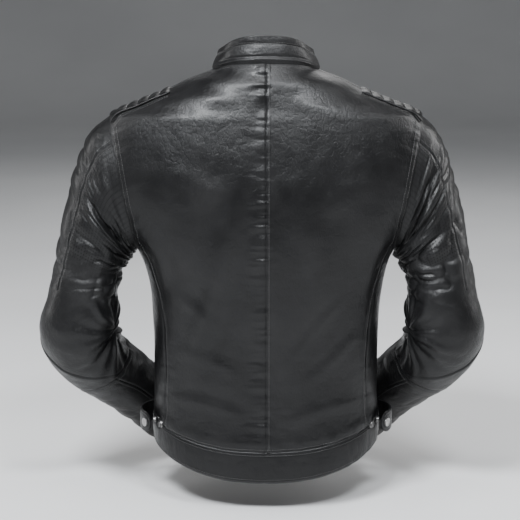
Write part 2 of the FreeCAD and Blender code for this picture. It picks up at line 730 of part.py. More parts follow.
def build_zip_side(name, side, foot):
    """A woven tape, and the rail of teeth on its edge."""
    if side == RIGHT:
        tape_edges = ("tape_edge", "tape_edge + tape_width")
        rail_edges = ("tooth_edge + tooth_width - tooth_rail", "tooth_edge + tooth_width")
        tooth_edges = ("tooth_edge", "tooth_edge + tooth_width - tooth_rail / 2")
        start = "tooth_pitch / 4"
    else:
        tape_edges = ("-tape_edge - tape_width", "-tape_edge")
        rail_edges = ("-tooth_edge - tooth_width", "-tooth_edge - tooth_width + tooth_rail")
        tooth_edges = ("-tooth_edge - tooth_width + tooth_rail / 2", "-tooth_edge")
        start = "tooth_pitch * 3 / 4"
    teeth = new_body(name + "_zip_teeth", foot)
    faces = ("-tooth_depth", "-tooth_depth + tooth_thick")
    block(teeth, "Rail", "XY_Plane", rail_edges + faces, "zip_long")
    tooth_rows = (start, start + " + tooth_long")
    tooth = block(teeth, "Tooth", "XZ_Plane", tooth_edges + tooth_rows, "tooth_thick")
    tooth.Profile[0].AttachmentOffset = FreeCAD.Placement(
        Vector(0, 0, size("tooth_depth")), FreeCAD.Rotation())
    tooth.Reversed = True
    repeat(teeth, tooth, "ToothRow", "tooth_pitch", int(size("zip_long") / size("tooth_pitch")) - 1)
    tape = new_body(name + "_zip_tape", foot)
    outer_edges = (rail_edges[1], tape_edges[1]) if side == RIGHT else (tape_edges[0], rail_edges[0])
    faces = ("-tape_depth", "-tape_depth + tape_thick")
    block(tape, "Strip", "XY_Plane", outer_edges + faces, "zip_long")


def build_front_slider(frame):
    """The slider runs over both rows of teeth, its wedge between them."""
    slider = new_body("front_slider", frame)
    across = ("-slider_wide / 2", "slider_wide / 2")
    block(slider, "FrontPlate", "XY_Plane",
          across + ("-slider_front_gap", "-slider_front_gap + slider_face"), "slider_long", True)
    block(slider, "Wedge", "XY_Plane",
          ("-post_wide / 2", "post_wide / 2", "-slider_rear_gap - slider_back / 2",
           "-slider_front_gap + slider_face / 2"), "post_long", True)
    block(slider, "RearPlate", "XY_Plane",
          across + ("-slider_rear_gap - slider_back", "-slider_rear_gap"), "slider_long", True)
    build_bail(slider, "-slider_front_gap + slider_face")


def build_bail(slider, top):
    """Two lugs and the pin that the puller's eye turns on."""
    rise = top + " + lug_rise"
    for name, inner, outer in (("Left", "-lug_inner - lug_wide", "-lug_inner"),
                               ("Right", "lug_inner", "lug_inner + lug_wide")):
        block(slider, name + "Lug", "XY_Plane",
              (inner, outer, top + " - lug_wide / 2", rise + " + lug_wide"), "lug_long", True)
    disc(slider, "Pin", "YZ_Plane", (rise, "0", "pin_radius"),
         "2 * lug_inner + lug_wide", True)


def build_puller(name, frame, top):
    """A flat puller, hanging down from the pin of its slider."""
    pin = top + " + lug_rise"
    pull = new_body(name, frame)
    level = (pin + " - pull_thick / 2", pin + " + pull_thick / 2")
    disc(pull, "Eye", "YZ_Plane", (pin, "0", "eye_radius"), "eye_wide", True)
    block(pull, "Neck", "YZ_Plane", level + ("-pull_neck - 1", "-eye_bore * 1.2"), "eye_wide", True)
    block(pull, "Grip", "YZ_Plane", level + ("-pull_long", "-pull_neck"), "pull_wide", True)
    disc(pull, "Bore", "YZ_Plane", (pin, "0", "eye_bore"), "eye_wide * 2", True, kind="Pocket")
    disc(pull, "Hole", "XZ_Plane", ("0", "-pull_long + pull_hole * 2", "pull_hole"),
         "pull_long * 2", True, kind="Pocket")


def build_front_zip():
    """Two tapes, two rows of teeth, the stops, the slider with its puller, and the flap."""
    along = Vector(0, -size("front_rake"), 1)
    outward = Vector(0, 1, size("front_rake"))
    foot = frame_at(Vector(0, front_depth(size("zip_low")), size("zip_low")), along, outward)
    length = size("zip_long")
    for name, side in SIDES:
        build_zip_side(name, side, foot)
    wide, stop_long = size("stop_wide"), size("stop_long")
    low_stop = Part.makeBox(wide, size("stop_deep"), stop_long,
                            Vector(-wide / 2, -size("stop_back"), -stop_long - 1))
    top_stops = []
    for x in (-size("tooth_edge") - size("top_stop_wide"), size("tooth_edge")):
        place = Vector(x, -size("top_stop_back"), length + size("stop_clear"))
        top_stops.append(Part.makeBox(size("top_stop_wide"), size("top_stop_deep"),
                                      size("top_stop_long"), place))
    stops = add_piece("front_zip_stops", Part.makeCompound([low_stop] + top_stops))
    stops.Placement = foot
    flap = DOC.addObject("Part::Box", "wind_flap")
    flap.Label = "wind_flap"
    flap.setExpression("Length", bound("2 * flap_half"))
    flap.setExpression("Width", bound("flap_thick"))
    flap.setExpression("Height", bound("zip_long - 8"))
    flap.Placement = shifted(foot, -size("flap_half"), -size("flap_depth") - size("flap_thick"), 4)
    rest = shifted(foot, 0, 0, length - size("slider_long") / 2 - 0.8)
    build_front_slider(rest)
    build_puller("front_pull", rest, "-slider_front_gap + slider_face")
    report_pivot("front_pull", rest, amount("-slider_front_gap + slider_face + lug_rise"))


def report_pivot(name, frame, outward):
    """Print where a puller's pin lies, and the directions of its zip."""
    x_axis, z_axis = [frame.Rotation.multVec(axis) for axis in (Vector(1, 0, 0), Vector(0, 0, 1))]
    pin = frame.multVec(Vector(0, outward, 0))
    print("pivot", name, [[round(value, 4) for value in item] for item in (pin, x_axis, z_axis)])


def build_small_zip(name, puller, frame, length, end):
    """A closed zip on its tape; the slider and its puller rest at the end given, 1 or -1."""
    zip_body = new_body(name + "_zip", frame)
    half = length + " / 2"
    block(zip_body, "Tape", "XY_Plane", ("-small_tape_wide / 2", "small_tape_wide / 2",
          "small_tape_lift", "small_tape_lift + small_tape_thick"), length, True)
    rows = ("-" + half + " + small_chain_pitch", "-" + half + " + small_chain_pitch + small_tooth")
    tooth = block(zip_body, "Tooth", "XZ_Plane",
                  ("-small_chain_wide / 2", "small_chain_wide / 2") + rows,
                  "small_tape_lift + small_tape_thick + small_chain_rise", False, True)
    tooth.Profile[0].AttachmentOffset = FreeCAD.Placement(
        Vector(0, 0, -size("small_tape_lift") - size("small_tape_thick") / 2), FreeCAD.Rotation())
    tooth.setExpression("Length", bound("small_tape_thick / 2 + small_chain_rise"))
    count = int(size(length) / size("small_chain_pitch")) - 1
    repeat(zip_body, tooth, "ToothRow", "small_chain_pitch", count)
    rest = shifted(frame, 0, 0, end * (size(length) / 2 - size("small_long") / 2 - 1))
    slider = new_body(name + "_slider", rest)
    deck = "small_tape_lift + small_tape_thick + small_chain_rise + slide_clear"
    block(slider, "Plate", "XY_Plane", ("-small_wide / 2", "small_wide / 2",
          deck, deck + " + small_face"), "small_long", True)
    for label, left, right in (("Left", "-small_wide / 2", "-small_channel / 2"),
                               ("Right", "small_channel / 2", "small_wide / 2")):
        block(slider, label + "Skirt", "XY_Plane",
              (left, right, deck + " - small_skirt", deck + " + small_face / 2"), "small_long", True)
    build_bail(slider, deck + " + small_face")
    build_puller(puller, rest, deck + " + small_face")
    report_pivot(puller, rest, amount(deck + " + small_face + lug_rise"))


def surface_frame(top, low, outward_guess):
    """A frame in the middle between two points of the leather, facing out of it."""
    along = top - low
    outward = outward_guess - along * (outward_guess.dot(along) / along.dot(along))
    return frame_at((top + low) * 0.5, along, outward)


def body_angle(x, z):
    """The angle at which the front of the body section reaches this far sideways."""
    low, high = 0.0, math.pi / 2
    for _ in range(30):
        middle = (low + high) / 2
        if body_point(middle, z).x > x:
            low = middle
        else:
            high = middle
    return low


def mirror_frame(frame):
    """The same frame on the wearer's left, still right-handed."""
    along = frame.Rotation.multVec(Vector(0, 0, 1))
    outward = frame.Rotation.multVec(Vector(0, 1, 0))
    base = frame.Base
    return frame_at(Vector(-base.x, base.y, base.z), Vector(-along.x, along.y, along.z),
                    Vector(-outward.x, outward.y, outward.z))


def build_pocket_zips():
    """Slanted hand pockets on both fronts."""
    ends = []
    for height in ("top", "low"):
        x, z = size("pocket_%s_x" % height), size("pocket_%s_z" % height)
        angle = body_angle(x, z)
        ends.append(body_point(angle, z))
    centre = (ends[0] + ends[1]) * 0.5
    angle = body_angle(centre.x, centre.z)
    tangent = body_point(angle + 0.02, centre.z) - body_point(angle - 0.02, centre.z)
    outward = Vector(tangent.y, -tangent.x, 0).normalize()
    outward.z = size("front_rake")
    bulge = (body_point(angle, centre.z) - centre).dot(outward)
    frame = surface_frame(ends[0], ends[1], outward)
    frame.Base = frame.Base + outward * max(bulge, 0)
    build_small_zip("right_pocket", "right_pocket_pull", frame, "pocket_zip_long", 1)
    build_small_zip("left_pocket", "left_pocket_pull", mirror_frame(frame),
                    "pocket_zip_long", 1)


def build_cuff_zips():
    """Cuff openings on the front inner side of the forearms."""
    turn, upper, lower = 128.0, 9.3, 10.8
    for name, side in SIDES:
        top = sleeve_point(side, upper, turn, 0)
        low = sleeve_point(side, lower, turn, 0)
        centre = sleeve_point(side, (upper + lower) / 2, turn, 0)
        outward = sleeve_point(side, (upper + lower) / 2, turn, 10) - centre
        frame = surface_frame(top, low, outward)
        outward.normalize()
        bulge = max((centre - frame.Base).dot(outward), 0)
        frame.Base = frame.Base + outward * (bulge + size("cuff_zip_lift"))
        build_small_zip(name + "_cuff", name + "_cuff_pull", frame, "cuff_zip_long", -1)


# ---------------------------------------------------------------- tabs and snaps

def build_stud(name, frame):
    """A snap stud: a flange and a post; Y points out of the leather."""
    stud = new_body(name, frame)
    disc(stud, "Flange", "XZ_Plane", ("0", "0", "stud_base"), "stud_flange", False, True)
    disc(stud, "Post", "XZ_Plane", ("0", "0", "stud_radius"), "stud_rise", False, True)


def build_cap(name, frame):
    """The snap cap on a tab; Y points out of the leather."""
    cap = new_body(name, frame)
    disc(cap, "Cap", "XZ_Plane", ("0", "0", "snap_radius"), "snap_rise", False, True)


def sector(name, radius, thick, high, arc):
    """A strap bent to part of a circle, about the Z axis, starting on +X."""
    parts = []
    for label, formula in (("Outer", radius + " + " + thick), ("Inner", radius)):
        cylinder = DOC.addObject("Part::Cylinder", name + label)
        cylinder.setExpression("Radius", bound(formula))
        cylinder.setExpression("Height", bound(high))
        cylinder.setExpression("Angle", bound(arc))
        parts.append(cylinder)
    strap = DOC.addObject("Part::Cut", name)
    strap.Label = name
    strap.Base = parts[0]
    strap.Tool = parts[1]
    return strap


def turned(centre, axis_angle, tilt=0.0):
    """A placement at a centre, turned about Z and then leaned about X."""
    lean = FreeCAD.Rotation(Vector(1, 0, 0), tilt)
    return FreeCAD.Placement(centre, lean.multiply(FreeCAD.Rotation(Vector(0, 0, 1), axis_angle)))


def build_waist_tabs():
    """Adjuster tabs round the hips, sewn in front, with a snap near the free end."""
    radius, arc = size("tab_radius"), size("tab_arc")
    snap_angle = -arc / 2 + size("tab_snap_angle")
    snap_height = size("tab_low_z") + size("tab_high") / 2
    for name, side in SIDES:
        centre = Vector(side * size("tab_centre_x"), size("tab_centre_y"), size("tab_low_z"))
        strap = sector(name + "_waist_tab", "tab_radius", "tab_thick", "tab_high", "tab_arc")
        start = -arc / 2 if side == RIGHT else 180 - arc / 2
        strap.Placement = turned(centre, start)
        heading = math.radians(snap_angle)
        outward = Vector(side * math.cos(heading), math.sin(heading), 0)
        snap = centre + outward * (radius + size("tab_thick"))
        snap.z = snap_height
        build_cap(name + "_tab_snap", frame_at(snap, Vector(0, 0, 1), outward))
        for label, y in (("first", size("first_stud_y")), ("second", size("second_stud_y"))):
            build_band_stud("%s_%s_stud" % (name, label), side, y, snap_height)


def build_band_stud(name, side, y, z):
    """A stud on the waistband; the second one is for a tighter waist."""
    low, high = 0.0, math.pi / 2
    for _ in range(30):
        middle = (low + high) / 2
        if body_point(-middle, z).y > y:
            low = middle
        else:
            high = middle
    point = body_point(-low, z, size("band_proud"))
    tangent = body_point(-low - 0.02, z) - body_point(-low + 0.02, z)
    outward = Vector(-tangent.y, tangent.x, 0).normalize()
    if outward.x < 0:
        outward = outward * -1
    if side == LEFT:
        point.x, outward.x = -point.x, -outward.x
    build_stud(name, frame_at(point + outward * size("stud_lift"), Vector(0, 0, 1), outward))


def build_collar_tab():
    """A short strap across the throat, sewn on the wearer's left."""
    front = math.pi / 2
    low = collar_point(front, 0.0, size("leather_thick"))
    high = collar_point(front, 1.0, size("leather_thick"))
    middle = low + (high - low) * size("collar_tab_level")
    along = (high - low).normalize()
    lean = math.degrees(math.atan2(low.y - high.y, high.z - low.z))
    outward = Vector(0, along.z, -along.y)
    radius, thick = size("collar_tab_radius"), size("collar_tab_thick")
    gap = size("collar_tab_gap")
    centre = middle + outward * (gap - radius) - along * (size("collar_tab_high") / 2)
    start = 90 - size("collar_tab_arc") * (1 - size("collar_tab_share"))
    strap = sector("collar_tab", "collar_tab_radius", "collar_tab_thick", "collar_tab_high",
                   "collar_tab_arc")
    strap.Placement = turned(centre, start, lean)
    sewn = math.radians(start + size("collar_tab_arc"))
    hinge = centre + Vector(1, 0, 0) * (radius * math.cos(sewn)) + outward * (radius * math.sin(sewn))
    print("pivot collar_tab", hinge, along)
    heading = math.radians(start + size("collar_tab_arc") * size("collar_snap_share"))
    across = Vector(1, 0, 0) * math.cos(heading) + outward * math.sin(heading)
    hub = centre + along * (size("collar_tab_high") / 2)
    build_cap("collar_tab_snap", frame_at(hub + across * (radius + thick), along, across))
    build_stud_low("collar_stud", frame_at(hub + across * (radius - gap + size("collar_stud_lift")), along, across))


def build_stud_low(name, frame):
    """The flat socket of the collar, under its tab."""
    stud = new_body(name, frame)
    disc(stud, "Flange", "XZ_Plane", ("0", "0", "stud_radius"), "collar_stud_rise", False, True)


# ---------------------------------------------------------------- checks and files

def gather(label, names):
    """Hand on several like pieces as one node, each still its own solid."""
    group = DOC.addObject("Part::Compound", label)
    group.Label = label
    group.Links = [DOC.getObject(name) for name in names]
    group.Placement = FreeCAD.Placement()


def build_groups():
    """Like pieces of one body, which are bought or cut as a set."""
    for label in ("front_lining", "zip_tape", "zip_teeth", "shoulder_armour", "pocket_zip",
                  "waistband_front"):
        gather(label + "s" * (label != "zip_teeth"), ["left_" + label, "right_" + label])
    studs = ["%s_%s_stud" % (side, place) for side, _ in SIDES for place in ("first", "second")]
    gather("snap_studs", studs + ["collar_stud"])


def final_pieces():
    """Every labelled piece that is handed on: all but the members of groups and booleans."""
    kinds = ("PartDesign::Body", "Part::Feature", "Part::Cut", "Part::Box", "Part::Compound")
    members = [member.Name for group in DOC.Objects if group.TypeId == "Part::Compound"
               for member in group.Links]
    return [piece for piece in DOC.Objects if piece.TypeId in kinds and piece.Name not in members]


def check_and_export():
    DOC.recompute()
    for item in DOC.Objects:
        if "Invalid" in item.State or "Error" in item.State:
            raise RuntimeError("failed object: " + item.Label)
    pieces = final_pieces()
    for piece in pieces:
        if piece.Shape.isNull() or not piece.Shape.isValid():
            raise RuntimeError("bad shape: " + piece.Label)
        if not piece.Shape.Solids:
            raise RuntimeError("no solid: " + piece.Label)
    os.makedirs("parts", exist_ok=True)
    for piece in pieces:
        piece.Shape.exportStep("parts/%s.step" % piece.Label)
        print("%-28s %3d solids %10.1f mm3" % (piece.Label, len(piece.Shape.Solids), piece.Shape.Volume))
    print(len(pieces), "pieces")


build_body_panels()
build_lining()
build_protectors()
build_waistband()
build_collar()
build_hanger_loop()
for sleeve_name, sleeve_side in SIDES:
    build_sleeve(sleeve_name, sleeve_side)
build_front_zip()
build_pocket_zips()
build_cuff_zips()
build_waist_tabs()
build_collar_tab()
build_groups()
check_and_export()
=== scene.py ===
"""Looks of the leather riding jacket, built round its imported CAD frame.

Forms are worked out in millimetres in the row frame and become metres in make_mesh().
"""

import json
import math

import bmesh
import bpy
import numpy as np
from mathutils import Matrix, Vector


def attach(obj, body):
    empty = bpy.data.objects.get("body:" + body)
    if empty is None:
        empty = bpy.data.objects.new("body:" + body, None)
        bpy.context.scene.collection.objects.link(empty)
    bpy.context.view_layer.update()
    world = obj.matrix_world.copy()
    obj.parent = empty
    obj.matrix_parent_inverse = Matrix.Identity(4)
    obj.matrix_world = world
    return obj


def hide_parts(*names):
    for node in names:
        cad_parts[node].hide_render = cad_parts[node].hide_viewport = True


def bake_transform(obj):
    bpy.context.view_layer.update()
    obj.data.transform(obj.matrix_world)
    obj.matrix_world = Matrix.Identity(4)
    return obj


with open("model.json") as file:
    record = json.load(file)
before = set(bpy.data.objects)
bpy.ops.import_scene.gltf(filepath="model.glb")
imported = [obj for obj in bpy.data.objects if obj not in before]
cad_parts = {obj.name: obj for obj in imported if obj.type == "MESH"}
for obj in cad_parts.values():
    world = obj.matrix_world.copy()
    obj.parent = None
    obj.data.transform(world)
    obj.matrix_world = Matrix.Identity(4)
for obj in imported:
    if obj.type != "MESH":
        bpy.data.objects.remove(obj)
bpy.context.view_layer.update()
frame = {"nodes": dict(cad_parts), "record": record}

MM = 0.001
SIDES = (("right", 1), ("left", -1))
FINE = 1.0
LEATHER = 1.3
POWER = 2.3

# Sizes of the cut, in mm.
FRONT_GAP = 7.0                     # half of the opening that the front zip lies in
NECK_WIDE, NECK_DEEP = 80.0, 83.0   # half sizes of the neck opening
NECK_Y = 8.5                        # middle of the neck opening, front to back
ARMHOLE_LOW = (192, -287)           # lowest and highest points of the armhole (x, z)
ARMHOLE_TOP = (231, -78)
SIDE_REAR, SIDE_FRONT = -60, 45     # y of the seams beside the side panels
SHOULDER_SEAM = -12                 # y of the seam on top of the shoulder
QUILT_REAR, QUILT_FRONT = -40, 55   # y of the edges of a quilted shoulder
QUILT_INNER, RIB = 141, 16.4        # where its ribs start, and the width of one
BAND_SPLIT = 18                     # y where the waistband's back meets its fronts
WAIST, HEM = (-541, 34), (-581, 40)  # height in front, and how much lower at the back
SLEEVE_STEP = 52                    # length of sleeve from ring to ring, about
DEGREE = 1.06                       # length round a sleeve for one degree of turn, about
PATCH_END = 8.11                    # ring number where the elbow leather ends
TAB_CENTRE = (145, -14, -548)       # middle of the curve that a waist tab follows
TAB_INNER, TAB_HALF_HIGH = 46.5, 16
TAB_HALF_ARC = math.radians(49.5)
COLLAR_TAB_RADIUS, COLLAR_TAB_ARC, COLLAR_TAB_HALF_HIGH = 400, 9.0, 9

# ---------------------------------------------------------------- form of the jacket (mm)

# Sections of the body: height, half width, back depth.
BODY = np.array([
    (14, 62, 54), (0, 70, 68), (-12, 80, 77), (-26, 116, 86), (-43, 150, 92), (-62, 195, 98),
    (-78, 231, 104), (-130, 252, 117), (-183, 250, 125), (-240, 222, 128), (-287, 192, 127),
    (-342, 177, 121), (-400, 173, 112), (-478, 173, 108), (-560, 173, 112), (-640, 172, 117),
], float)[::-1]

# Rings of a sleeve: outermost x, z; innermost x, z; middle y; twist; half depth; left reach.
RINGS = np.array([
    (231, -78, 192, -287, -7, 0, 68, 0), (258, -104, 195, -291, -6, 0, 68, 4),
    (277, -150, 198, -297, -6, -2, 67, 7), (293, -210, 204, -308, -8, -5, 65, 9),
    (308, -285, 211, -327, -12, -7, 62, 10), (320, -345, 214, -360, -18, -6, 60, 11),
    (334, -400, 214, -392, -22, 8, 60, 12), (326, -445, 212, -415, -10, 25, 58, 12),
    (300, -492, 205, -440, 20, 34, 54, 12), (258, -540, 182, -473, 68, 40, 50, 10),
    (222, -583, 152, -520, 112, 40, 47, 8), (197, -620, 129, -560, 145, 40, 44, 6),
], float)


def curve(xs, ys, x):
    """A smooth line through the table's points."""
    last = len(xs) - 1
    x = np.clip(x, xs[0], xs[-1])
    k = np.clip(np.searchsorted(xs, x, side="right") - 1, 0, last - 1)
    step = xs[k + 1] - xs[k]
    u = (x - xs[k]) / step
    index = np.arange(last + 1)
    low, high = np.maximum(index - 1, 0), np.minimum(index + 1, last)
    slope = (ys[high] - ys[low]) / (xs[high] - xs[low])
    start = ys[k] * (1 + 2 * u) * (1 - u) ** 2 + slope[k] * step * u * (1 - u) ** 2
    return start + ys[k + 1] * u * u * (3 - 2 * u) - slope[k + 1] * step * u * u * (1 - u)


def half_width(z):
    return curve(BODY[:, 0], BODY[:, 1], z)


def back_depth(z):
    return curve(BODY[:, 0], BODY[:, 2], z)


def front_depth(z):
    below = -78.0 - z
    return np.where(below > 0, 88 + 0.0713 * below, 88 + below * (0.12 - 0.0022 * below))


def wall(depth_at, z, out):
    slope = (depth_at(z + 2) - depth_at(z - 2)) / 4
    return depth_at(z) + out * np.sqrt(1 + slope * slope)


def rounded(angle, wide, deep):
    fill = np.abs(np.cos(angle) / wide) ** POWER + np.abs(np.sin(angle) / deep) ** POWER
    radius = fill ** (-1 / POWER)
    return radius * np.cos(angle), radius * np.sin(angle)


def body(angle, z, out=0.0):
    """Points of the body; angle 0 is +X and 90 degrees the front."""
    angle, z = np.broadcast_arrays(np.asarray(angle, float), np.asarray(z, float))
    wide = wall(half_width, z, out)
    deep = np.where(np.sin(angle) > 0, wall(front_depth, z, out), wall(back_depth, z, out))
    x, y = rounded(angle, wide, deep)
    return np.stack([x, y, z], -1)


def body_fill(p):
    deep = np.where(p[..., 1] > 0, front_depth(p[..., 2]), back_depth(p[..., 2]))
    return (np.abs(p[..., 0] / half_width(p[..., 2])) ** POWER
            + np.abs(p[..., 1] / deep) ** POWER)


def unit(v):
    return v / np.maximum(np.linalg.norm(v, axis=-1, keepdims=True), 1e-9)


def body_normal(angle, z):
    along = body(angle + 1e-3, z) - body(angle - 1e-3, z)
    up = body(angle, z + 0.5) - body(angle, z - 0.5)
    return unit(np.cross(along, up))


def first_crossing(start, heading, low, high):
    """Where lines from inside the body leave it."""
    low, high = np.full(start.shape[:-1], low), np.full(start.shape[:-1], high)
    for _ in range(30):
        middle = (low + high) / 2
        inside = body_fill(start + heading * middle[..., None]) < 1
        low, high = np.where(inside, middle, low), np.where(inside, high, middle)
    return start + heading * low[..., None]


def neckline(angle):
    tilt = math.radians(23)
    axis = np.array([0, math.sin(tilt), math.cos(tilt)])
    deep = np.array([0, math.cos(tilt), -math.sin(tilt)])
    x, y = rounded(np.asarray(angle, float), NECK_WIDE, NECK_DEEP)
    start = np.array([0, NECK_Y, -33]) + x[..., None] * np.array([1.0, 0, 0]) + y[..., None] * deep
    return first_crossing(start, axis, -60.0, 80.0)


NECK = neckline(np.linspace(-math.pi, math.pi, 721)[:-1])
NECK_ANGLE = np.arctan2(NECK[:, 1], NECK[:, 0])


def neck_height(angle):
    return np.interp(angle, NECK_ANGLE, NECK[:, 2], period=2 * math.pi)


def sagging(line, y):
    """Height of the waist seam or the hem: level in front, lower at the back."""
    front, drop = line
    return front - drop * (np.maximum(-y, 0) / 115) ** 1.9


def dropped(line, angle):
    """The same height, found from the angle round the body."""
    z = np.full(np.shape(angle), float(line[0]))
    for _ in range(3):
        z = sagging(line, body(angle, z)[..., 1])
    return z


def armhole_x(z):
    (low_x, low_z), (top_x, top_z) = ARMHOLE_LOW, ARMHOLE_TOP
    return low_x + (top_x - low_x) * (z - low_z) / (top_z - low_z)


def ring_frame(side, s):
    columns = [curve(np.arange(len(RINGS), dtype=float), RINGS[:, k], s) for k in range(8)]
    outer_x, outer_z, inner_x, inner_z, middle, twist, deep, reach = columns
    reach = reach if side < 0 else 0 * reach
    nought = 0 * outer_x
    outer = np.stack([outer_x + reach, nought, outer_z], -1)
    inner = np.stack([inner_x + reach, nought, inner_z], -1)
    half = np.linalg.norm(outer - inner, axis=-1) / 2
    across = unit(outer - inner)
    square = np.stack([-across[..., 2], nought, across[..., 0]], -1)
    turn = np.radians(twist)[..., None]
    forward = np.array([0.0, 1, 0]) * np.cos(turn) + square * np.sin(turn)
    centre = (outer + inner) / 2 + middle[..., None] * np.array([0.0, 1, 0])
    centre = centre - square * np.maximum(1 - s, 0)[..., None]
    return centre, across, forward, half, deep


def armhole_stretch(turn):
    centre, across, forward, half, deep = ring_frame(1, np.zeros_like(turn))
    heading = (across * (half * np.cos(turn))[..., None]
               + forward * (deep * np.sin(turn))[..., None])
    edge = first_crossing(centre, heading, 0.5, 1.6)
    return np.linalg.norm(edge - centre, axis=-1) / np.linalg.norm(heading, axis=-1)


STRETCH_TURN = np.linspace(0, 2 * math.pi, 361)
STRETCH = armhole_stretch(STRETCH_TURN)


def sleeve(side, s, turn, out=0.0):
    """Points of a sleeve; turn 0 is its outer side, 90 the front and 270 the back."""
    s, turn = np.broadcast_arrays(np.asarray(s, float), np.asarray(turn, float))
    centre, across, forward, half, deep = ring_frame(side, s)
    angle = np.radians(turn)
    fade = np.maximum(1 - s / 3.5, 0) ** 2
    stretch = 1 + fade * (np.interp(angle % (2 * math.pi), STRETCH_TURN, STRETCH) - 1)
    p = centre + across * (np.cos(angle) * (half * stretch + out))[..., None]
    p = p + forward * (np.sin(angle) * (deep * stretch + out))[..., None]
    return p * np.array([side, 1.0, 1.0])


# ---------------------------------------------------------------- noise and folds

def lattice(ix, iy, iz, seed):
    h = (ix * 374761393 + iy * 668265263 + iz * 2147483647 + seed * 974634777) & 0xFFFFFFFF
    h = ((h ^ (h >> 13)) * 1274126177) & 0xFFFFFFFF
    return ((h ^ (h >> 16)) & 0xFFFF) / 32767.5 - 1


def noise(p, seed=0):
    """Smooth noise between -1 and 1 at points in units of its cell."""
    cell = np.floor(p).astype(np.int64)
    f = p - cell
    f = f * f * (3 - 2 * f)
    total = 0
    for dx in (0, 1):
        for dy in (0, 1):
            for dz in (0, 1):
                weight = (np.abs(1 - dx - f[..., 0]) * np.abs(1 - dy - f[..., 1])
                          * np.abs(1 - dz - f[..., 2]))
                total = total + weight * lattice(cell[..., 0] + dx, cell[..., 1] + dy,
                                                 cell[..., 2] + dz, seed)
    return total


def fractal(p, seed=0, octaves=3):
    total, size = 0, 1.0
    for k in range(octaves):
        total = total + size * noise(p * 2.03 ** k, seed + 7 * k)
        size *= 0.5
    return total


def creases(p, seed=0):
    """Ridged noise: rounded crests with sharp valleys between them."""
    return np.abs(noise(p, seed)) + 0.5 * np.abs(noise(p * 2.1, seed + 3)) - 0.45


def bell(d, width):
    return np.exp(-(d / width) ** 2)


def smooth(x, low, high):
    t = np.clip((x - low) / (high - low), 0, 1)
    return t * t * (3 - 2 * t)


def at_least(r, lowest, soft=0.8):
    """The relief, kept off the protectors that lie under the leather."""
    return lowest + soft * np.logaddexp(0, (r - lowest) / soft)


def ridge(x, z, start, end, width, height, bend=0.0):
    """A soft fold along a line of the back, tapered at both ends."""
    ax, az = start
    bx, bz = end
    length = math.hypot(bx - ax, bz - az)
    ux, uz = (bx - ax) / length, (bz - az) / length
    along = ((x - ax) * ux + (z - az) * uz) / length
    off = -(x - ax) * uz + (z - az) * ux - bend * np.sin(math.pi * np.clip(along, 0, 1))
    ends = smooth(along, -0.12, 0.25) * (1 - smooth(along, 0.7, 1.12))
    return height * ends * (bell(off, width) - 0.55 * bell(off - 1.9 * width, width))


# Folds of the back: start and end (x, z), width, height and bend.
BACK_FOLDS = [
    ((-50, -205), (-108, -420), 15, 4.2, 6), ((-72, -330), (-122, -470), 14, 2.4, -4),
    ((98, -190), (112, -420), 30, -2.8, 8), ((62, -215), (84, -345), 20, 2.0, 3),
    ((-150, -150), (-60, -190), 15, 1.4, 5), ((150, -165), (80, -215), 16, 1.5, -6),
    ((40, -430), (130, -330), 7, 1.2, 4), ((60, -470), (140, -395), 8, 1.1, -3),
    ((-150, -330), (-60, -395), 9, 1.3, 5), ((-140, -500), (-30, -520), 9, 1.4, 5),
    ((140, -505), (35, -525), 9, 1.3, -5), ((-130, -425), (-40, -455), 10, 1.1, 4),
    ((-165, -60), (-40, -50), 9, 1.6, 6), ((150, -60), (30, -52), 9, 1.2, 5),
    ((-175, -250), (-150, -330), 9, 2.0, 5), ((178, -245), (150, -340), 9, 2.0, -5),
]
FRONT_FOLDS = [
    ((-150, -170), (-60, -260), 13, 2.2, 6), ((150, -180), (55, -250), 13, 2.2, -6),
    ((-130, -330), (-45, -420), 11, 1.6, 5), ((125, -320), (45, -400), 11, 1.6, 5),
    ((-140, -500), (-40, -470), 9, 1.4, 5), ((140, -490), (45, -515), 9, 1.4, 5),
]


def seam_relief(d, welt_side=0.0):
    """A sewn seam: a narrow valley, and the welt of the side it is folded to."""
    valley = -1.0 * bell(d, 1.3) - 0.35 * bell(d, 6)
    welt = 0.55 * smooth(d * welt_side, 0.8, 2.0) * (1 - smooth(d * welt_side, 5.5, 7.0))
    return valley + (welt if welt_side else 0)


def puckers(d, along, pitch, reach, height, seed=5):
    """Little gathers that run into a seam."""
    d, along = np.broadcast_arrays(d, along)
    line = np.stack([along / pitch, d / 40, 0 * along], -1)
    return height * bell(d, reach) * (noise(line, seed) + 0.5 * noise(line * 1.9, seed + 1))


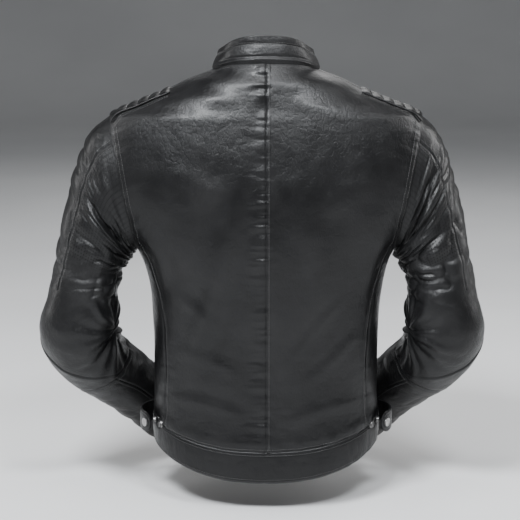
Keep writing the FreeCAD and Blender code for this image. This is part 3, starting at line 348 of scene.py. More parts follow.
def body_relief(p):
    """How far the leather stands off the plain form, from folds, seams and puckers."""
    x, y, z = p[..., 0], p[..., 1], p[..., 2]
    back = smooth(-y, 5, 45)
    front = smooth(y, 5, 45)
    r = 1.5 * fractal(p / 95, 1, 2) + 0.55 * fractal(p / 33, 9, 3) * (0.5 + 0.5 * back)
    r = r + 0.5 * creases(p / np.array([26, 60, 17]), 21) * smooth(-z, 330, 520)
    for start, end, width, height, bend in BACK_FOLDS:
        r = r + back * ridge(x, z, start, end, width, height, bend)
    for start, end, width, height, bend in FRONT_FOLDS:
        r = r + front * ridge(x, z, start, end, width, height, bend)
    r = r + back * (seam_relief(x, 1) + 0.4 * bell(x + 5, 5))
    r = r + back * puckers(x + 2, z, 8.5, np.where(x < 0, 19, 7), 1.5)
    low = smooth(-z, 225, 250)
    for at, welt, seed, half in ((SIDE_REAR, -1, 31, y < 0), (SIDE_FRONT, 1, 33, y > 0)):
        gathers = puckers(y - at, z, 11, 16, 0.5, seed)
        r = r + low * (seam_relief(y - at, welt) + gathers) * half
    high = (1 - smooth(-z, 95, 110)) * smooth(np.abs(x), 60, 75)
    r = r + high * seam_relief(y - SHOULDER_SEAM, -1)
    in_arm = (armhole_x(z) - np.abs(x)) * smooth(-z, 60, 90)
    near = (z < -70) & (z > -300)
    r = r + near * (0.45 * smooth(in_arm, 0.3, 1.5) * (1 - smooth(in_arm, 9, 11))
                    + puckers(in_arm, z + y, 10, 26, 0.6, 41))
    waist_gap = z - sagging(WAIST, y)
    r = r + 1.3 * bell(waist_gap - 11, 9) - 1.2 * bell(waist_gap, 3)
    r = r + puckers(waist_gap, x + y, 15, 26, 0.9, 51) * (np.abs(z + 560) < 80)
    return at_least(r + 0.6 * back, -2.8)


def quilt_height(p):
    """Puffed ribs that run front to back over the shoulder."""
    rib = (np.abs(p[..., 0]) - QUILT_INNER) / RIB
    puff = np.abs(np.sin(math.pi * rib)) ** 0.6
    front_edge = 1 - smooth(p[..., 1], QUILT_FRONT - 7, QUILT_FRONT)
    edge = smooth(p[..., 1], QUILT_REAR, QUILT_REAR + 7) * front_edge
    ends = smooth(np.abs(p[..., 0]), QUILT_INNER, QUILT_INNER + 5)
    wave = 0.35 * noise(p / np.array([14, 9, 14]), 61)
    return 0.2 + (2.5 * puff + wave) * edge * ends


# ---------------------------------------------------------------- meshes

def placed(name, mesh, material):
    """A smooth object of this mesh, linked to the scene."""
    mesh.polygons.foreach_set("use_smooth", np.ones(len(mesh.polygons), bool))
    mesh.materials.append(material)
    made = bpy.data.objects.new(name, mesh)
    bpy.context.scene.collection.objects.link(made)
    return made


def make_mesh(name, points, faces, material, uvs=None):
    mesh = bpy.data.meshes.new(name)
    mesh.from_pydata((np.asarray(points) * MM).tolist(), [], np.asarray(faces).tolist())
    if uvs is not None:
        layer = mesh.uv_layers.new(name="flat")
        loops = np.zeros(len(mesh.loops), np.int32)
        mesh.loops.foreach_get("vertex_index", loops)
        layer.data.foreach_set("uv", (np.asarray(uvs) * MM)[loops].astype(np.float32).ravel())
    return placed(name, mesh, material)


def sharpen(mesh, pairs):
    """Mark these edges sharp, so that a surface isn't shaded round its thin border."""
    ends = np.zeros(len(mesh.edges) * 2, np.int32)
    mesh.edges.foreach_get("vertices", ends)
    ends = np.sort(ends.reshape(-1, 2), 1).astype(np.int64)
    pairs = np.sort(np.asarray(pairs, np.int64).reshape(-1, 2), 1)
    count = len(mesh.vertices)
    chosen = np.isin(ends[:, 0] * count + ends[:, 1], pairs[:, 0] * count + pairs[:, 1])
    flags = mesh.attributes.new("sharp_edge", "BOOLEAN", "EDGE")
    flags.data.foreach_set("value", chosen)


def grid_faces(rows, columns, start=0, flip=False):
    index = np.arange(rows * columns).reshape(rows, columns) + start
    quads = np.stack([index[:-1, :-1], index[:-1, 1:], index[1:, 1:], index[1:, :-1]], -1)
    quads = quads.reshape(-1, 4)
    return quads[:, ::-1] if flip else quads


def sheet(name, outer, inner, material, uv=None, flip=False):
    """A closed piece between two grids of points, with its edges filled."""
    rows, columns = outer.shape[:2]
    count = rows * columns
    index = np.arange(count).reshape(rows, columns)
    rim = np.concatenate([index[0, :-1], index[:-1, -1], index[-1, :0:-1], index[:0:-1, 0]])
    after = np.roll(rim, -1)
    sides = np.stack([after, rim, rim + count, after + count], -1)
    if flip:
        sides = sides[:, ::-1]
    faces = np.concatenate([grid_faces(rows, columns, 0, flip),
                            grid_faces(rows, columns, count, not flip), sides])
    points = np.concatenate([outer.reshape(-1, 3), inner.reshape(-1, 3)])
    uvs = None if uv is None else np.concatenate([uv.reshape(-1, 2)] * 2)
    made = make_mesh(name, points, faces, material, uvs)
    border = np.stack([rim, after], -1)
    sharpen(made.data, np.concatenate([border, border + count]))
    return made


def stitches(name, rows, material, length=3.0, pitch=3.9, radius=0.34):
    """Thread: one sunk capsule for each stitch, along rows of (points, normals)."""
    ring = np.array([(math.cos(a), math.sin(a)) for a in np.arange(5) * 2 * math.pi / 5])
    shape = [(-0.5, 0, 0)] + [(-0.32, c, s) for c, s in ring]
    shape = np.array(shape + [(0.32, c, s) for c, s in ring] + [(0.5, 0, 0)])
    caps = [(0, 1 + (k + 1) % 5, 1 + k) for k in range(5)]
    caps += [(11, 6 + k, 6 + (k + 1) % 5) for k in range(5)]
    walls = [(1 + k, 1 + (k + 1) % 5, 6 + (k + 1) % 5, 6 + k) for k in range(5)]
    points, faces = [], []
    for line, normals in rows:
        steps = np.linalg.norm(np.diff(line, axis=0), axis=1)
        travel = np.concatenate([[0], np.cumsum(steps)])
        if travel[-1] < 2 * pitch:
            continue
        at = np.arange(pitch / 2, travel[-1], pitch)
        centre = np.stack([np.interp(at, travel, line[:, k]) for k in range(3)], -1)
        ahead = np.stack([np.interp(at + 1, travel, line[:, k]) for k in range(3)], -1)
        behind = np.stack([np.interp(at - 1, travel, line[:, k]) for k in range(3)], -1)
        up = unit(np.stack([np.interp(at, travel, normals[:, k]) for k in range(3)], -1))
        along = unit(ahead - behind)
        cross = unit(np.cross(along, up))
        for k in range(len(at)):
            base = len(points) * len(shape)
            points.append(centre[k] + up[k] * 0.12 + np.outer(shape[:, 0] * length, along[k])
                          + np.outer(shape[:, 1] * radius, cross[k])
                          + np.outer(shape[:, 2] * radius, up[k]))
            faces += [tuple(base + i for i in face) for face in caps + walls]
    mesh = bpy.data.meshes.new(name)
    mesh.from_pydata((np.concatenate(points) * MM).tolist(), [], faces)
    return placed(name, mesh, material)


def piping(name, line, normals, radius, material, sides=8):
    """A thin round welt along a line."""
    along = unit(np.gradient(line, axis=0))
    cross = unit(np.cross(along, normals))
    angles = np.linspace(0, 2 * math.pi, sides + 1)[:-1]
    tube = (line[:, None] + cross[:, None] * (np.cos(angles) * radius)[None, :, None]
            + normals[:, None] * (np.sin(angles) * radius)[None, :, None])
    tube = np.concatenate([tube, tube[:, :1]], 1)
    return make_mesh(name, tube.reshape(-1, 3), grid_faces(*tube.shape[:2]), material)


# ---------------------------------------------------------------- materials

class Tree:
    """A short way to write node trees: constants go on the sockets themselves."""

    def __init__(self, name):
        self.material = bpy.data.materials.new(name)
        self.material.use_nodes = True
        self.tree = self.material.node_tree
        self.shader = self.tree.nodes["Principled BSDF"]
        self.place = self.add("ShaderNodeTexCoord")

    def add(self, kind, inputs=None, **settings):
        node = self.tree.nodes.new(kind)
        for key, value in settings.items():
            setattr(node, key, value)
        for key, value in (inputs or {}).items():
            self.put(node.inputs[key], value)
        return node

    def put(self, socket, value):
        if isinstance(value, bpy.types.NodeSocket):
            self.tree.links.new(value, socket)
        else:
            socket.default_value = value

    def scaled(self, scale, source="Object"):
        node = self.add("ShaderNodeMapping", {"Vector": self.place.outputs[source],
                                              "Scale": scale})
        return node.outputs["Vector"]

    def noise(self, scale, detail=3.0, stretch=(1, 1, 1), distortion=0.0):
        node = self.add("ShaderNodeTexNoise", {"Vector": self.scaled(stretch), "Scale": scale,
                                               "Detail": detail, "Distortion": distortion})
        return node.outputs["Fac"]

    def cells(self, scale, stretch=(1, 1, 1)):
        node = self.add("ShaderNodeTexVoronoi", {"Vector": self.scaled(stretch), "Scale": scale},
                        feature="DISTANCE_TO_EDGE")
        return node.outputs["Distance"]

    def waves(self, scale, heading, distortion=0.0):
        node = self.add("ShaderNodeTexWave", {"Vector": self.scaled((1, 1, 1)), "Scale": scale,
                                              "Distortion": distortion}, bands_direction=heading)
        return node.outputs["Fac"]

    def ramp(self, factor, low, high, a, b):
        node = self.add("ShaderNodeMapRange", {"Value": factor, "From Min": low,
                                               "From Max": high, "To Min": a, "To Max": b})
        return node.outputs["Result"]

    def colours(self, factor, *stops):
        node = self.add("ShaderNodeValToRGB", {"Fac": factor})
        while len(node.color_ramp.elements) < len(stops):
            node.color_ramp.elements.new(0.5)
        for element, (at, colour) in zip(node.color_ramp.elements, stops):
            element.position = at
            element.color = (*colour, 1)
        return node.outputs["Color"]

    def maths(self, operation, a, b=0.0):
        node = self.add("ShaderNodeMath", operation=operation)
        self.put(node.inputs[0], a)
        self.put(node.inputs[1], b)
        return node.outputs[0]

    def bump(self, height, strength, distance, normal=None):
        inputs = {"Height": height, "Strength": strength, "Distance": distance}
        if normal is not None:
            inputs["Normal"] = normal
        return self.add("ShaderNodeBump", inputs).outputs["Normal"]

    def surface(self, **inputs):
        for key, value in inputs.items():
            self.put(self.shader.inputs[key.replace("_", " ")], value)
        return self.material


HOLE_PITCH, HOLES_END = 0.0050, 0.200   # of the perforation, in metres along the sleeve


def leather(name, dark=1.0, holes=False):
    """Black grained leather; the UV map of a perforated piece is flat, in metres."""
    t = Tree(name)
    grain = t.cells(620)
    pores = t.noise(1500, 2)
    wrinkle = t.cells(150, stretch=(1.0, 1.0, 0.55))
    veins = t.noise(70, 5, (1, 1, 1.6), distortion=0.8)
    patches = t.noise(11, 3)
    handled = t.noise(38, 4, distortion=0.3)
    normal = t.bump(t.ramp(wrinkle, 0.0, 0.16, 0.0, 1.0), 0.22, 0.0006)
    normal = t.bump(veins, 0.35, 0.0012, normal)
    normal = t.bump(t.ramp(grain, 0.0, 0.12, 0.0, 1.0), 0.30, 0.00025, normal)
    normal = t.bump(pores, 0.12, 0.00012, normal)
    shade = t.maths("MULTIPLY", t.ramp(patches, 0.3, 0.7, 0.75, 1.3),
                    t.ramp(grain, 0.0, 0.08, 0.72, 1.0))
    colour = t.colours(t.ramp(shade, 0.4, 1.35, 0.0, 1.0),
                       (0.0, (0.0022 * dark, 0.0022 * dark, 0.0024 * dark)),
                       (0.6, (0.0060 * dark, 0.0060 * dark, 0.0064 * dark)),
                       (1.0, (0.012 * dark, 0.0118 * dark, 0.0122 * dark)))
    rough = t.maths("ADD", t.ramp(patches, 0.25, 0.75, 0.30, 0.42),
                    t.ramp(handled, 0.3, 0.7, -0.04, 0.09))
    if holes:
        at = t.scaled((1 / HOLE_PITCH, 1 / HOLE_PITCH, 1), "UV")
        cell = t.add("ShaderNodeVectorMath", {0: at}, operation="FRACTION")
        centred = t.add("ShaderNodeVectorMath", {0: cell.outputs[0], 1: (0.5, 0.5, 0)},
                        operation="SUBTRACT")
        reach = t.add("ShaderNodeVectorMath", {0: centred.outputs[0]}, operation="LENGTH")
        pin = t.ramp(reach.outputs["Value"], 0.17, 0.25, 1.0, 0.0)
        along = t.add("ShaderNodeSeparateXYZ", {0: t.place.outputs["UV"]}).outputs["Y"]
        hole = t.maths("MULTIPLY", pin, t.ramp(along, HOLES_END, HOLES_END + 0.008, 1.0, 0.0))
        normal = t.bump(hole, -0.9, 0.0007, normal)
        # The pinholes are painted near black: painted shade of the dark inside seen through them,
        # as the mesh has no real opening.
        colour = t.add("ShaderNodeMix", {0: hole, 6: colour, 7: (0.0006, 0.0006, 0.0006, 1)},
                       data_type="RGBA").outputs[2]
        rough = t.maths("ADD", rough, t.maths("MULTIPLY", hole, 0.5))
    return t.surface(Base_Color=colour, Roughness=rough, Normal=normal,
                     Specular_IOR_Level=0.28, Coat_Weight=0.05, Coat_Roughness=0.2)


def fabric(name, light, scale, sheen=0.2):
    t = Tree(name)
    weave = t.maths("MULTIPLY", t.waves(scale, "Z", 0.4), t.waves(scale, "X", 0.4))
    worn = t.noise(45, 4)
    colour = t.colours(t.maths("MULTIPLY", t.ramp(weave, 0, 1, 0.6, 1.0), worn),
                       (0.2, (light * 0.5,) * 3), (0.7, (light, light, light * 1.06)))
    return t.surface(Base_Color=colour, Roughness=t.ramp(worn, 0.3, 0.7, 0.72, 0.92),
                     Normal=t.bump(weave, 0.35, 0.0003), Sheen_Weight=sheen)


def metal(name, tone, rough):
    t = Tree(name)
    scratches = t.noise(900, 3, (1, 1, 0.08))
    tarnish = t.noise(160, 4)
    colour = t.colours(tarnish, (0.3, tuple(c * 0.62 for c in tone)), (0.65, tone))
    return t.surface(Base_Color=colour, Metallic=1.0,
                     Roughness=t.maths("ADD", t.ramp(tarnish, 0.3, 0.7, rough + 0.1, rough),
                                       t.ramp(scratches, 0.4, 0.6, 0.0, 0.06)),
                     Normal=t.bump(scratches, 0.12, 0.0001))


def small_zip(name):
    """Dark tape with a row of metal teeth across it."""
    t = Tree(name)
    tooth = t.waves(125.0, "Z")
    worn = t.noise(300, 3)
    shown = t.ramp(tooth, 0.45, 0.6, 0.0, 1.0)
    return t.surface(Base_Color=t.colours(shown, (0.1, (0.010, 0.010, 0.011)),
                                          (0.9, (0.16, 0.158, 0.155))),
                     Metallic=shown, Roughness=t.ramp(worn, 0.3, 0.7, 0.38, 0.55),
                     Normal=t.bump(tooth, 0.6, 0.0006))


def foam(name):
    t = Tree(name)
    cell = t.cells(420)
    return t.surface(Base_Color=t.colours(cell, (0.0, (0.02, 0.02, 0.022)),
                                          (0.4, (0.07, 0.07, 0.075))),
                     Roughness=t.ramp(cell, 0, 0.4, 0.95, 0.8), Normal=t.bump(cell, 0.5, 0.0006))


def twine(name):
    t = Tree(name)
    twist = t.waves(260.0, "DIAGONAL", 0.6)
    fibres = t.noise(1300, 3, (1, 1, 0.3))
    return t.surface(Base_Color=t.colours(twist, (0.1, (0.008, 0.008, 0.009)),
                                          (0.8, (0.035, 0.034, 0.036))),
                     Roughness=t.ramp(fibres, 0.3, 0.7, 0.5, 0.8),
                     Normal=t.bump(t.maths("ADD", twist, fibres), 0.5, 0.0002))


def thread(name):
    t = Tree(name)
    fibres = t.noise(2600, 3, (1, 1, 1), distortion=1.0)
    return t.surface(Base_Color=t.colours(fibres, (0.3, (0.012, 0.012, 0.012)),
                                          (0.7, (0.045, 0.043, 0.042))),
                     Roughness=t.ramp(fibres, 0.3, 0.7, 0.38, 0.6), Sheen_Weight=0.3,
                     Normal=t.bump(fibres, 0.4, 0.0001))


def floor_material():
    t = Tree("floor_paper")
    broad, fine = t.noise(1.2, 3), t.noise(240, 4)
    colour = t.colours(broad, (0.3, (0.60, 0.60, 0.605)), (0.7, (0.68, 0.68, 0.68)))
    return t.surface(Base_Color=colour, Roughness=t.ramp(fine, 0.3, 0.7, 0.72, 0.85),
                     Normal=t.bump(fine, 0.05, 0.0004))


BLACK = leather("black_leather")
# A darker copy of the black leather, at 0.6 of its colour: painted shade on the quilted shoulders.
QUILTED = leather("quilted_leather", 0.6)
PERFORATED = leather("perforated_leather", 0.95, True)
LINING = fabric("lining_fabric", 0.035, 420)
TAPE = fabric("zip_tape", 0.016, 520, 0.1)
ZIP_METAL = metal("zip_metal", (0.55, 0.545, 0.53), 0.24)
SMALL_ZIP = small_zip("small_zip_teeth")
SNAP_METAL = metal("snap_metal", (0.42, 0.415, 0.41), 0.28)
FOAM = foam("armour_foam")
CORD = twine("cord")
THREAD = thread("thread")

# The record's material slots.
LOOKS = {
    "black_leather": BLACK, "quilted_leather": QUILTED, "perforated_leather": PERFORATED,
    "lining_fabric": LINING, "zip_tape": TAPE, "zip_metal": ZIP_METAL,
    "snap_metal": SNAP_METAL, "armour_foam": FOAM, "cord": CORD,
}

# ---------------------------------------------------------------- torso

def body_surface(angle, z, out=0.0, relief=1.0):
    """Points and outward directions of the leather as it really lies."""
    p = body(angle, z, out)
    n = body_normal(angle, z)
    return p + n * (relief * body_relief(p))[..., None], n


def front_angles(z, share, gap):
    """Angles round the body that start and end at the front opening."""
    edge = np.arctan2(gap, front_depth(z))
    return math.pi / 2 + edge + share * (2 * math.pi - 2 * edge)


def fall(count):
    """Shares of the way from neck seam to waist seam, even along the sloping shoulder."""
    z = np.linspace(-12, -560, 1500)
    length = np.cumsum(np.concatenate([[0], np.hypot(np.diff(z), 0.62 * np.diff(half_width(z)))]))
    return np.interp(np.linspace(0, length[-1], count), length, (z[0] - z) / (z[0] - z[-1]))


def torso_grid(rows, columns, gap, out, relief):
    share = np.linspace(0, 1, columns)[None, :]
    first = front_angles(-300.0, share, gap)
    top = neck_height(first)
    low = dropped(WAIST, first)
    z = top + (low - top) * fall(rows)[:, None]
    angle = front_angles(z, share, gap)
    z = neck_height(angle) + (low - neck_height(angle)) * fall(rows)[:, None]
    return body_surface(angle, z, out, relief)


def sliced(points, faces, planes):
    """The mesh cut along planes, as arrays; each plane is (point, direction)."""
    work = bmesh.new()
    mesh = bpy.data.meshes.new("cut")
    mesh.from_pydata(points.tolist(), [], faces.tolist())
    work.from_mesh(mesh)
    bpy.data.meshes.remove(mesh)
    for spot, heading in planes:
        geometry = work.verts[:] + work.edges[:] + work.faces[:]
        bmesh.ops.bisect_plane(work, geom=geometry, dist=1e-4, plane_co=spot, plane_no=heading)
    work.verts.index_update()
    cut_points = np.array([v.co[:] for v in work.verts])
    cut_faces = [tuple(v.index for v in f.verts) for f in work.faces]
    work.free()
    return cut_points, cut_faces


def declare(made, body_name, nodes=()):
    """What the piece rides on, and the CAD nodes it stands for."""
    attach(made, body_name)
    if nodes:
        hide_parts(*nodes)
    return made


def part_of(name, node, points, faces, chosen, slot, thick=LEATHER, lift=None):
    """A piece made of some of the faces, with its thickness, that stands for a CAD node."""
    keep = [faces[k] for k in np.flatnonzero(chosen)]
    used = np.unique(np.concatenate([np.array(f) for f in keep]))
    renumber = np.full(len(points), -1)
    renumber[used] = np.arange(len(used))
    places = points[used]
    if lift is not None:
        places = lift(places)
    mesh = bpy.data.meshes.new(name)
    mesh.from_pydata((places * MM).tolist(), [], [tuple(renumber[list(f)].tolist()) for f in keep])
    made = placed(name, mesh, LOOKS[slot])
    corners = [(f[k], f[(k + 1) % len(f)]) for f in keep for k in range(len(f))]
    corners = np.sort(renumber[np.array(corners)], 1)
    edges, uses = np.unique(corners, axis=0, return_counts=True)
    sharpen(mesh, edges[uses == 1])
    solid = made.modifiers.new("thickness", "SOLIDIFY")
    solid.thickness, solid.offset = thick * MM, -1
    return declare(made, "jacket", [node])


def across_x(x):
    return Vector((x, 0, 0)), Vector((1, 0, 0))


def across_y(y):
    return Vector((0, y, 0)), Vector((0, 1, 0))


def armhole_plane(side):
    (low_x, low_z), (top_x, top_z) = ARMHOLE_LOW, ARMHOLE_TOP
    square = Vector((side * (top_z - low_z), 0, low_x - top_x)).normalized()
    return Vector((side * low_x, 0, low_z)), square


ARMHOLES = [armhole_plane(side) for _, side in SIDES]


def beyond(centres):
    """Faces of the body outside the armholes, which end at their lowest point."""
    outside = np.abs(centres[:, 0]) > armhole_x(centres[:, 2])
    return outside & (centres[:, 2] > ARMHOLE_LOW[1])


def mean_of_faces(points, faces):
    return np.array([points[list(f)].mean(0) for f in faces])


def build_torso():
    rows, columns = int(440 * FINE), int(620 * FINE) // 2 * 2 + 1
    p, _ = torso_grid(rows, columns, FRONT_GAP, 0.0, 1.0)
    seams = (SIDE_REAR, SIDE_FRONT, SHOULDER_SEAM, QUILT_REAR, QUILT_FRONT)
    planes = ARMHOLES + [across_y(y) for y in seams]
    planes += [across_x(-QUILT_INNER), across_x(QUILT_INNER)]
    points, faces = sliced(p.reshape(-1, 3), grid_faces(rows, columns)[:, ::-1], planes)
    c = mean_of_faces(points, faces)
    x, y, z = c.T
    kept = ~beyond(c)
    between = (y > QUILT_REAR) & (y < QUILT_FRONT)
    quilt = kept & (np.abs(x) > QUILT_INNER) & between & (z > -170)
    flank = kept & (np.abs(x) > 60) & (y > SIDE_REAR) & (y < SIDE_FRONT) & (z < -200)
    back = kept & ~quilt & ~flank & (y < np.where(z > -200, SHOULDER_SEAM, SIDE_REAR))
    front = kept & ~quilt & ~flank & ~back
    for name, side in SIDES:
        half = x * side > 0
        for label, chosen in (("back_panel", back), ("front_panel", front), ("side_panel", flank)):
            part_of("%s_%s_leather" % (name, label), "%s_%s" % (name, label), points, faces,
                    chosen & half, "black_leather")
        made = part_of(name + "_quilt_leather", name + "_shoulder_quilt", points, faces,
                       quilt & half, "quilted_leather", lift=lifted)


def lifted(places):
    """The quilted shoulder, raised off the plain form by its stuffed ribs."""
    angle = np.arctan2(places[:, 1], places[:, 0])
    return places + body_normal(angle, places[:, 2]) * quilt_height(places)[:, None]


def build_lining_pieces():
    rows, columns = int(180 * FINE), int(260 * FINE) // 2 * 2 + 1
    p, _ = torso_grid(rows, columns, 27.0, -2.3, 0.75)
    planes = ARMHOLES + [across_y(SHOULDER_SEAM)]
    points, faces = sliced(p.reshape(-1, 3), grid_faces(rows, columns)[:, ::-1], planes)
    c = mean_of_faces(points, faces)
    kept, rear = ~beyond(c), c[:, 1] < SHOULDER_SEAM
    for name, node, chosen in (("back_lining_cloth", "back_lining", rear),
                               ("front_lining_cloth", "front_linings", ~rear)):
        part_of(name, node, points, faces, kept & chosen, "lining_fabric", 0.6)


def build_waistband():
    """The hem band: rolled at the seam, folded over at the hem, a little padded."""
    rows, columns = int(56 * FINE), int(620 * FINE) // 2 * 2 + 1
    share = np.linspace(0, 1, columns)[None, :]
    t = np.linspace(0, 1, rows)[:, None]
    angle = front_angles(-560.0, share, FRONT_GAP)
    top, low = dropped(WAIST, angle) + 2.2, dropped(HEM, angle)
    z = top + (low - top) * t
    flat = body(angle, z, 1.2)
    n = body_normal(angle, z)
    round_off = -3.8 * bell(t, 0.04) - 1.8 * bell(1 - t, 0.04)
    relief = (round_off + 1.5 * np.sin(math.pi * t) ** 0.6 - 0.7 * bell((t - 0.1) * 46, 1.6)
              - 0.5 * bell((t - 0.87) * 46, 1.3) + 0.9 * creases(flat / np.array([17, 17, 26]), 71)
              * np.sin(math.pi * t) + 0.7 * fractal(flat / 60, 73, 2))
    gather = puckers((1 - t) * 40, flat[..., 0] + flat[..., 1], 13, 18, 0.5, 75)
    outer = flat + n * (relief + gather)[..., None]
    points, faces = sliced(outer.reshape(-1, 3), grid_faces(rows, columns)[:, ::-1],
                           [across_y(BAND_SPLIT)])
    rear = mean_of_faces(points, faces)[:, 1] < BAND_SPLIT
    for name, node, chosen in (("waistband_back_leather", "waistband_back", rear),
                               ("waistband_front_leather", "waistband_fronts", ~rear)):
        part_of(name, node, points, faces, chosen, "black_leather", 2.8)


def at_depth(y0, z, side=1):
    """Angles where the body's surface passes this y, on one side, at each height."""
    spread = np.linspace(-math.pi / 2, math.pi / 2, 241)
    found = [np.interp(y0, body(spread, np.full(241, h))[:, 1], spread) for h in z]
    return np.array(found) if side > 0 else math.pi - np.array(found)


def at_width(x0, z, rear):
    """Angles on the right half where the body's surface passes this x, at each height."""
    spread = np.linspace(0, math.pi / 2, 241) * (-1 if rear else 1)
    found = [np.interp(-v, -body(spread, np.full(241, h))[:, 0], spread) for v, h in zip(x0, z)]
    return np.array(found)


def build_body_stitches():
    rows = []
    z = np.linspace(-3, -570, 600)
    rows.append(body_surface(-math.pi / 2 + 4.6 / back_depth(z), z))
    for side in (1, -1):
        z = np.linspace(-262, -545, 300)
        rows.append(body_surface(at_depth(SIDE_REAR - 4.5, z, side), z))
        rows.append(body_surface(at_depth(SIDE_FRONT + 4.5, z, side), z))
        z = np.linspace(-20, -72, 120)
        rows.append(body_surface(at_depth(SHOULDER_SEAM - 4.5, z, side), z))
        z = np.linspace(-60, -560, 300)
        zip_edge = np.arctan2(FRONT_GAP + 5.0, front_depth(z))
        rows.append(body_surface(math.pi / 2 + side * zip_edge, z))
        rows.append(body_surface(math.pi / 2 + side * zip_edge * 2.6, z))
    around = np.linspace(math.pi / 2 + 0.13, math.pi * 2.5 - 0.13, 700)
    rows.append(body_surface(around, neck_height(around) - 3.4))
    rows.append(body_surface(around, dropped(WAIST, around) + 4.2))
    for inset in (3.0, 8.5):
        for rear in (True, False):
            z = np.linspace(-92, -280, 220)
            angle = at_width(armhole_x(z) - inset, z, rear)
            rows += [body_surface(angle, z), body_surface(math.pi - angle, z)]
    band = np.linspace(math.pi / 2 + 0.06, math.pi * 2.5 - 0.06, 700)
    for share, out in ((0.10, 2.2), (0.87, 2.4)):
        top, low = dropped(WAIST, band), dropped(HEM, band)
        z = top + (low - top) * share
        rows.append((body(band, z, out), body_normal(band, z)))
    declare(stitches("body_stitching", rows, THREAD), "jacket")


def quilt_edge(side):
    """The welt along the rear edge of a quilted shoulder, from the neck side to the arm."""
    z = np.linspace(-36, -92, 160)
    angle = at_depth(QUILT_REAR - 0.5, z, side)
    p, n = body_surface(angle, z, 1.4)
    inside = (np.abs(p[:, 0]) > QUILT_INNER) & (np.abs(p[:, 0]) < armhole_x(z) - 1)
    return p[inside], n[inside]


def build_quilt_trim():
    for name, side in SIDES:
        line, n = quilt_edge(side)
        declare(piping(name + "_quilt_piping", line + n * 1.0, n, 1.5, BLACK), "jacket")
        rows = []
        for k in range(1, 5):
            x = QUILT_INNER + RIB * k
            y = np.linspace(-36, 51, 60)
            start = np.stack([np.full(60, side * float(x)), y, np.full(60, -150.0)], -1)
            p = first_crossing(start, np.array([0.0, 0, 1]), 0.0, 150.0)
            n = body_normal(np.arctan2(p[:, 1], p[:, 0]), p[:, 2])
            rows.append((p + n * (body_relief(p) + 1.5)[:, None], n))
        z = np.linspace(-36, -92, 160)
        for off in (5.0, 9.5):
            p, n = body_surface(at_depth(QUILT_REAR - off, z, side), z)
            inside = (np.abs(p[:, 0]) > QUILT_INNER + 2) & (np.abs(p[:, 0]) < armhole_x(z) - 4)
            rows.append((p[inside], n[inside]))
        declare(stitches(name + "_quilt_stitching", rows, THREAD), "jacket")


# ---------------------------------------------------------------- collar

def collar(angle, v, out):
    angle, v = np.broadcast_arrays(np.asarray(angle, float), np.asarray(v, float))
    seam = neckline(angle)
    back, front = np.maximum(-np.sin(angle), 0), np.maximum(np.sin(angle), 0)
    rise = 27 + 13 * back ** 2 + 5 * front ** 2
    taper = 1 - 0.125 * v * (1.25 - 0.25 * v)
    outward = unit(np.stack([np.cos(angle) * NECK_DEEP, np.sin(angle) * NECK_WIDE,
                             0 * angle], -1))
    p = np.stack([seam[..., 0] * taper, NECK_Y + (seam[..., 1] - NECK_Y) * taper,
                  seam[..., 2] + v * rise], -1)
    return p + outward * np.asarray(out)[..., None], outward


def collar_relief(angle, v):
    p, _ = collar(angle, v, np.zeros(np.broadcast(angle, v).shape))
    puff = 1.5 * np.sin(math.pi * np.clip(v / 0.74, 0, 1)) ** 0.8
    stand = -1.0 * bell(v, 0.05) - 0.9 * bell(v - 0.76, 0.03) + 0.5 * bell(v - 0.9, 0.12)
    fold = 1.5 * bell(v - 0.17 + 0.05 * noise(p / 60, 83), 0.055) * smooth(-p[..., 1], 0, 40)
    fold = fold - 0.8 * bell(v - 0.29, 0.05) * smooth(-p[..., 1], 0, 40)
    relief = puff + stand + fold + 0.5 * fractal(p / np.array([28, 28, 12]), 81, 3)
    return relief * (1 - 0.88 * smooth(np.sin(angle), 0.6, 0.86))


def build_collar():
    gap = math.atan(FRONT_GAP / NECK_DEEP)
    angle = np.linspace(math.pi / 2 + gap, math.pi * 2.5 - gap, int(420 * FINE))[:, None]
    v = np.linspace(0, 1, int(60 * FINE))[None, :]
    shape = np.broadcast(angle, v).shape
    outer, _ = collar(angle, v, LEATHER + collar_relief(angle, v))
    middle, inner, close = (collar(angle, v, np.full(shape, out))[0] for out in (-0.2, -1.9, -0.5))
    turn = np.linspace(0, math.pi / 2, 10)[None, 1:, None]
    ridge_line, rise = middle[:, -1:], np.array([0.0, 0, 1.0]) * (2.0 * np.sin(turn))
    flat_end = np.repeat(ridge_line, turn.shape[1], 1)
    for name, node, face, under, flip in (
            ("collar_leather", "collar_shell", outer, middle, True),
            ("collar_facing_leather", "collar_facing", inner, close, False)):
        rolled = ridge_line + (face[:, -1:] - ridge_line) * np.cos(turn) + rise
        made = sheet(name, np.concatenate([face, rolled], 1),
                     np.concatenate([under, flat_end], 1), BLACK, flip=flip)
        declare(made, "jacket", [node])
    rows = []
    line = np.linspace(math.pi / 2 + gap * 1.5, math.pi * 2.5 - gap * 1.5, 500)
    for height in (0.72, 0.80):
        lift = LEATHER + collar_relief(line, np.full(500, height))
        rows.append(collar(line, np.full(500, height), lift))
    declare(stitches("collar_stitching", rows, THREAD), "jacket")


def build_loop():
    anchor, _ = collar(np.array([-math.pi / 2]), np.array([0.55]), np.array([-LEATHER]))
    x = np.linspace(-1, 1, 60)
    line = np.stack([x * 28, anchor[0, 1] + 4.5 + 3 * x * x, anchor[0, 2] - 16 * (1 - x * x)], -1)
    normals = np.tile(np.array([0.0, 1, 0]), (60, 1))
    made = piping("hanger_loop_cord", line, normals, 1.6, CORD, 14)
    declare(made, "jacket", ["hanger_loop"])


# ---------------------------------------------------------------- sleeves

def turned_from(at, turn):
    return (turn - at + 180) % 360 - 180


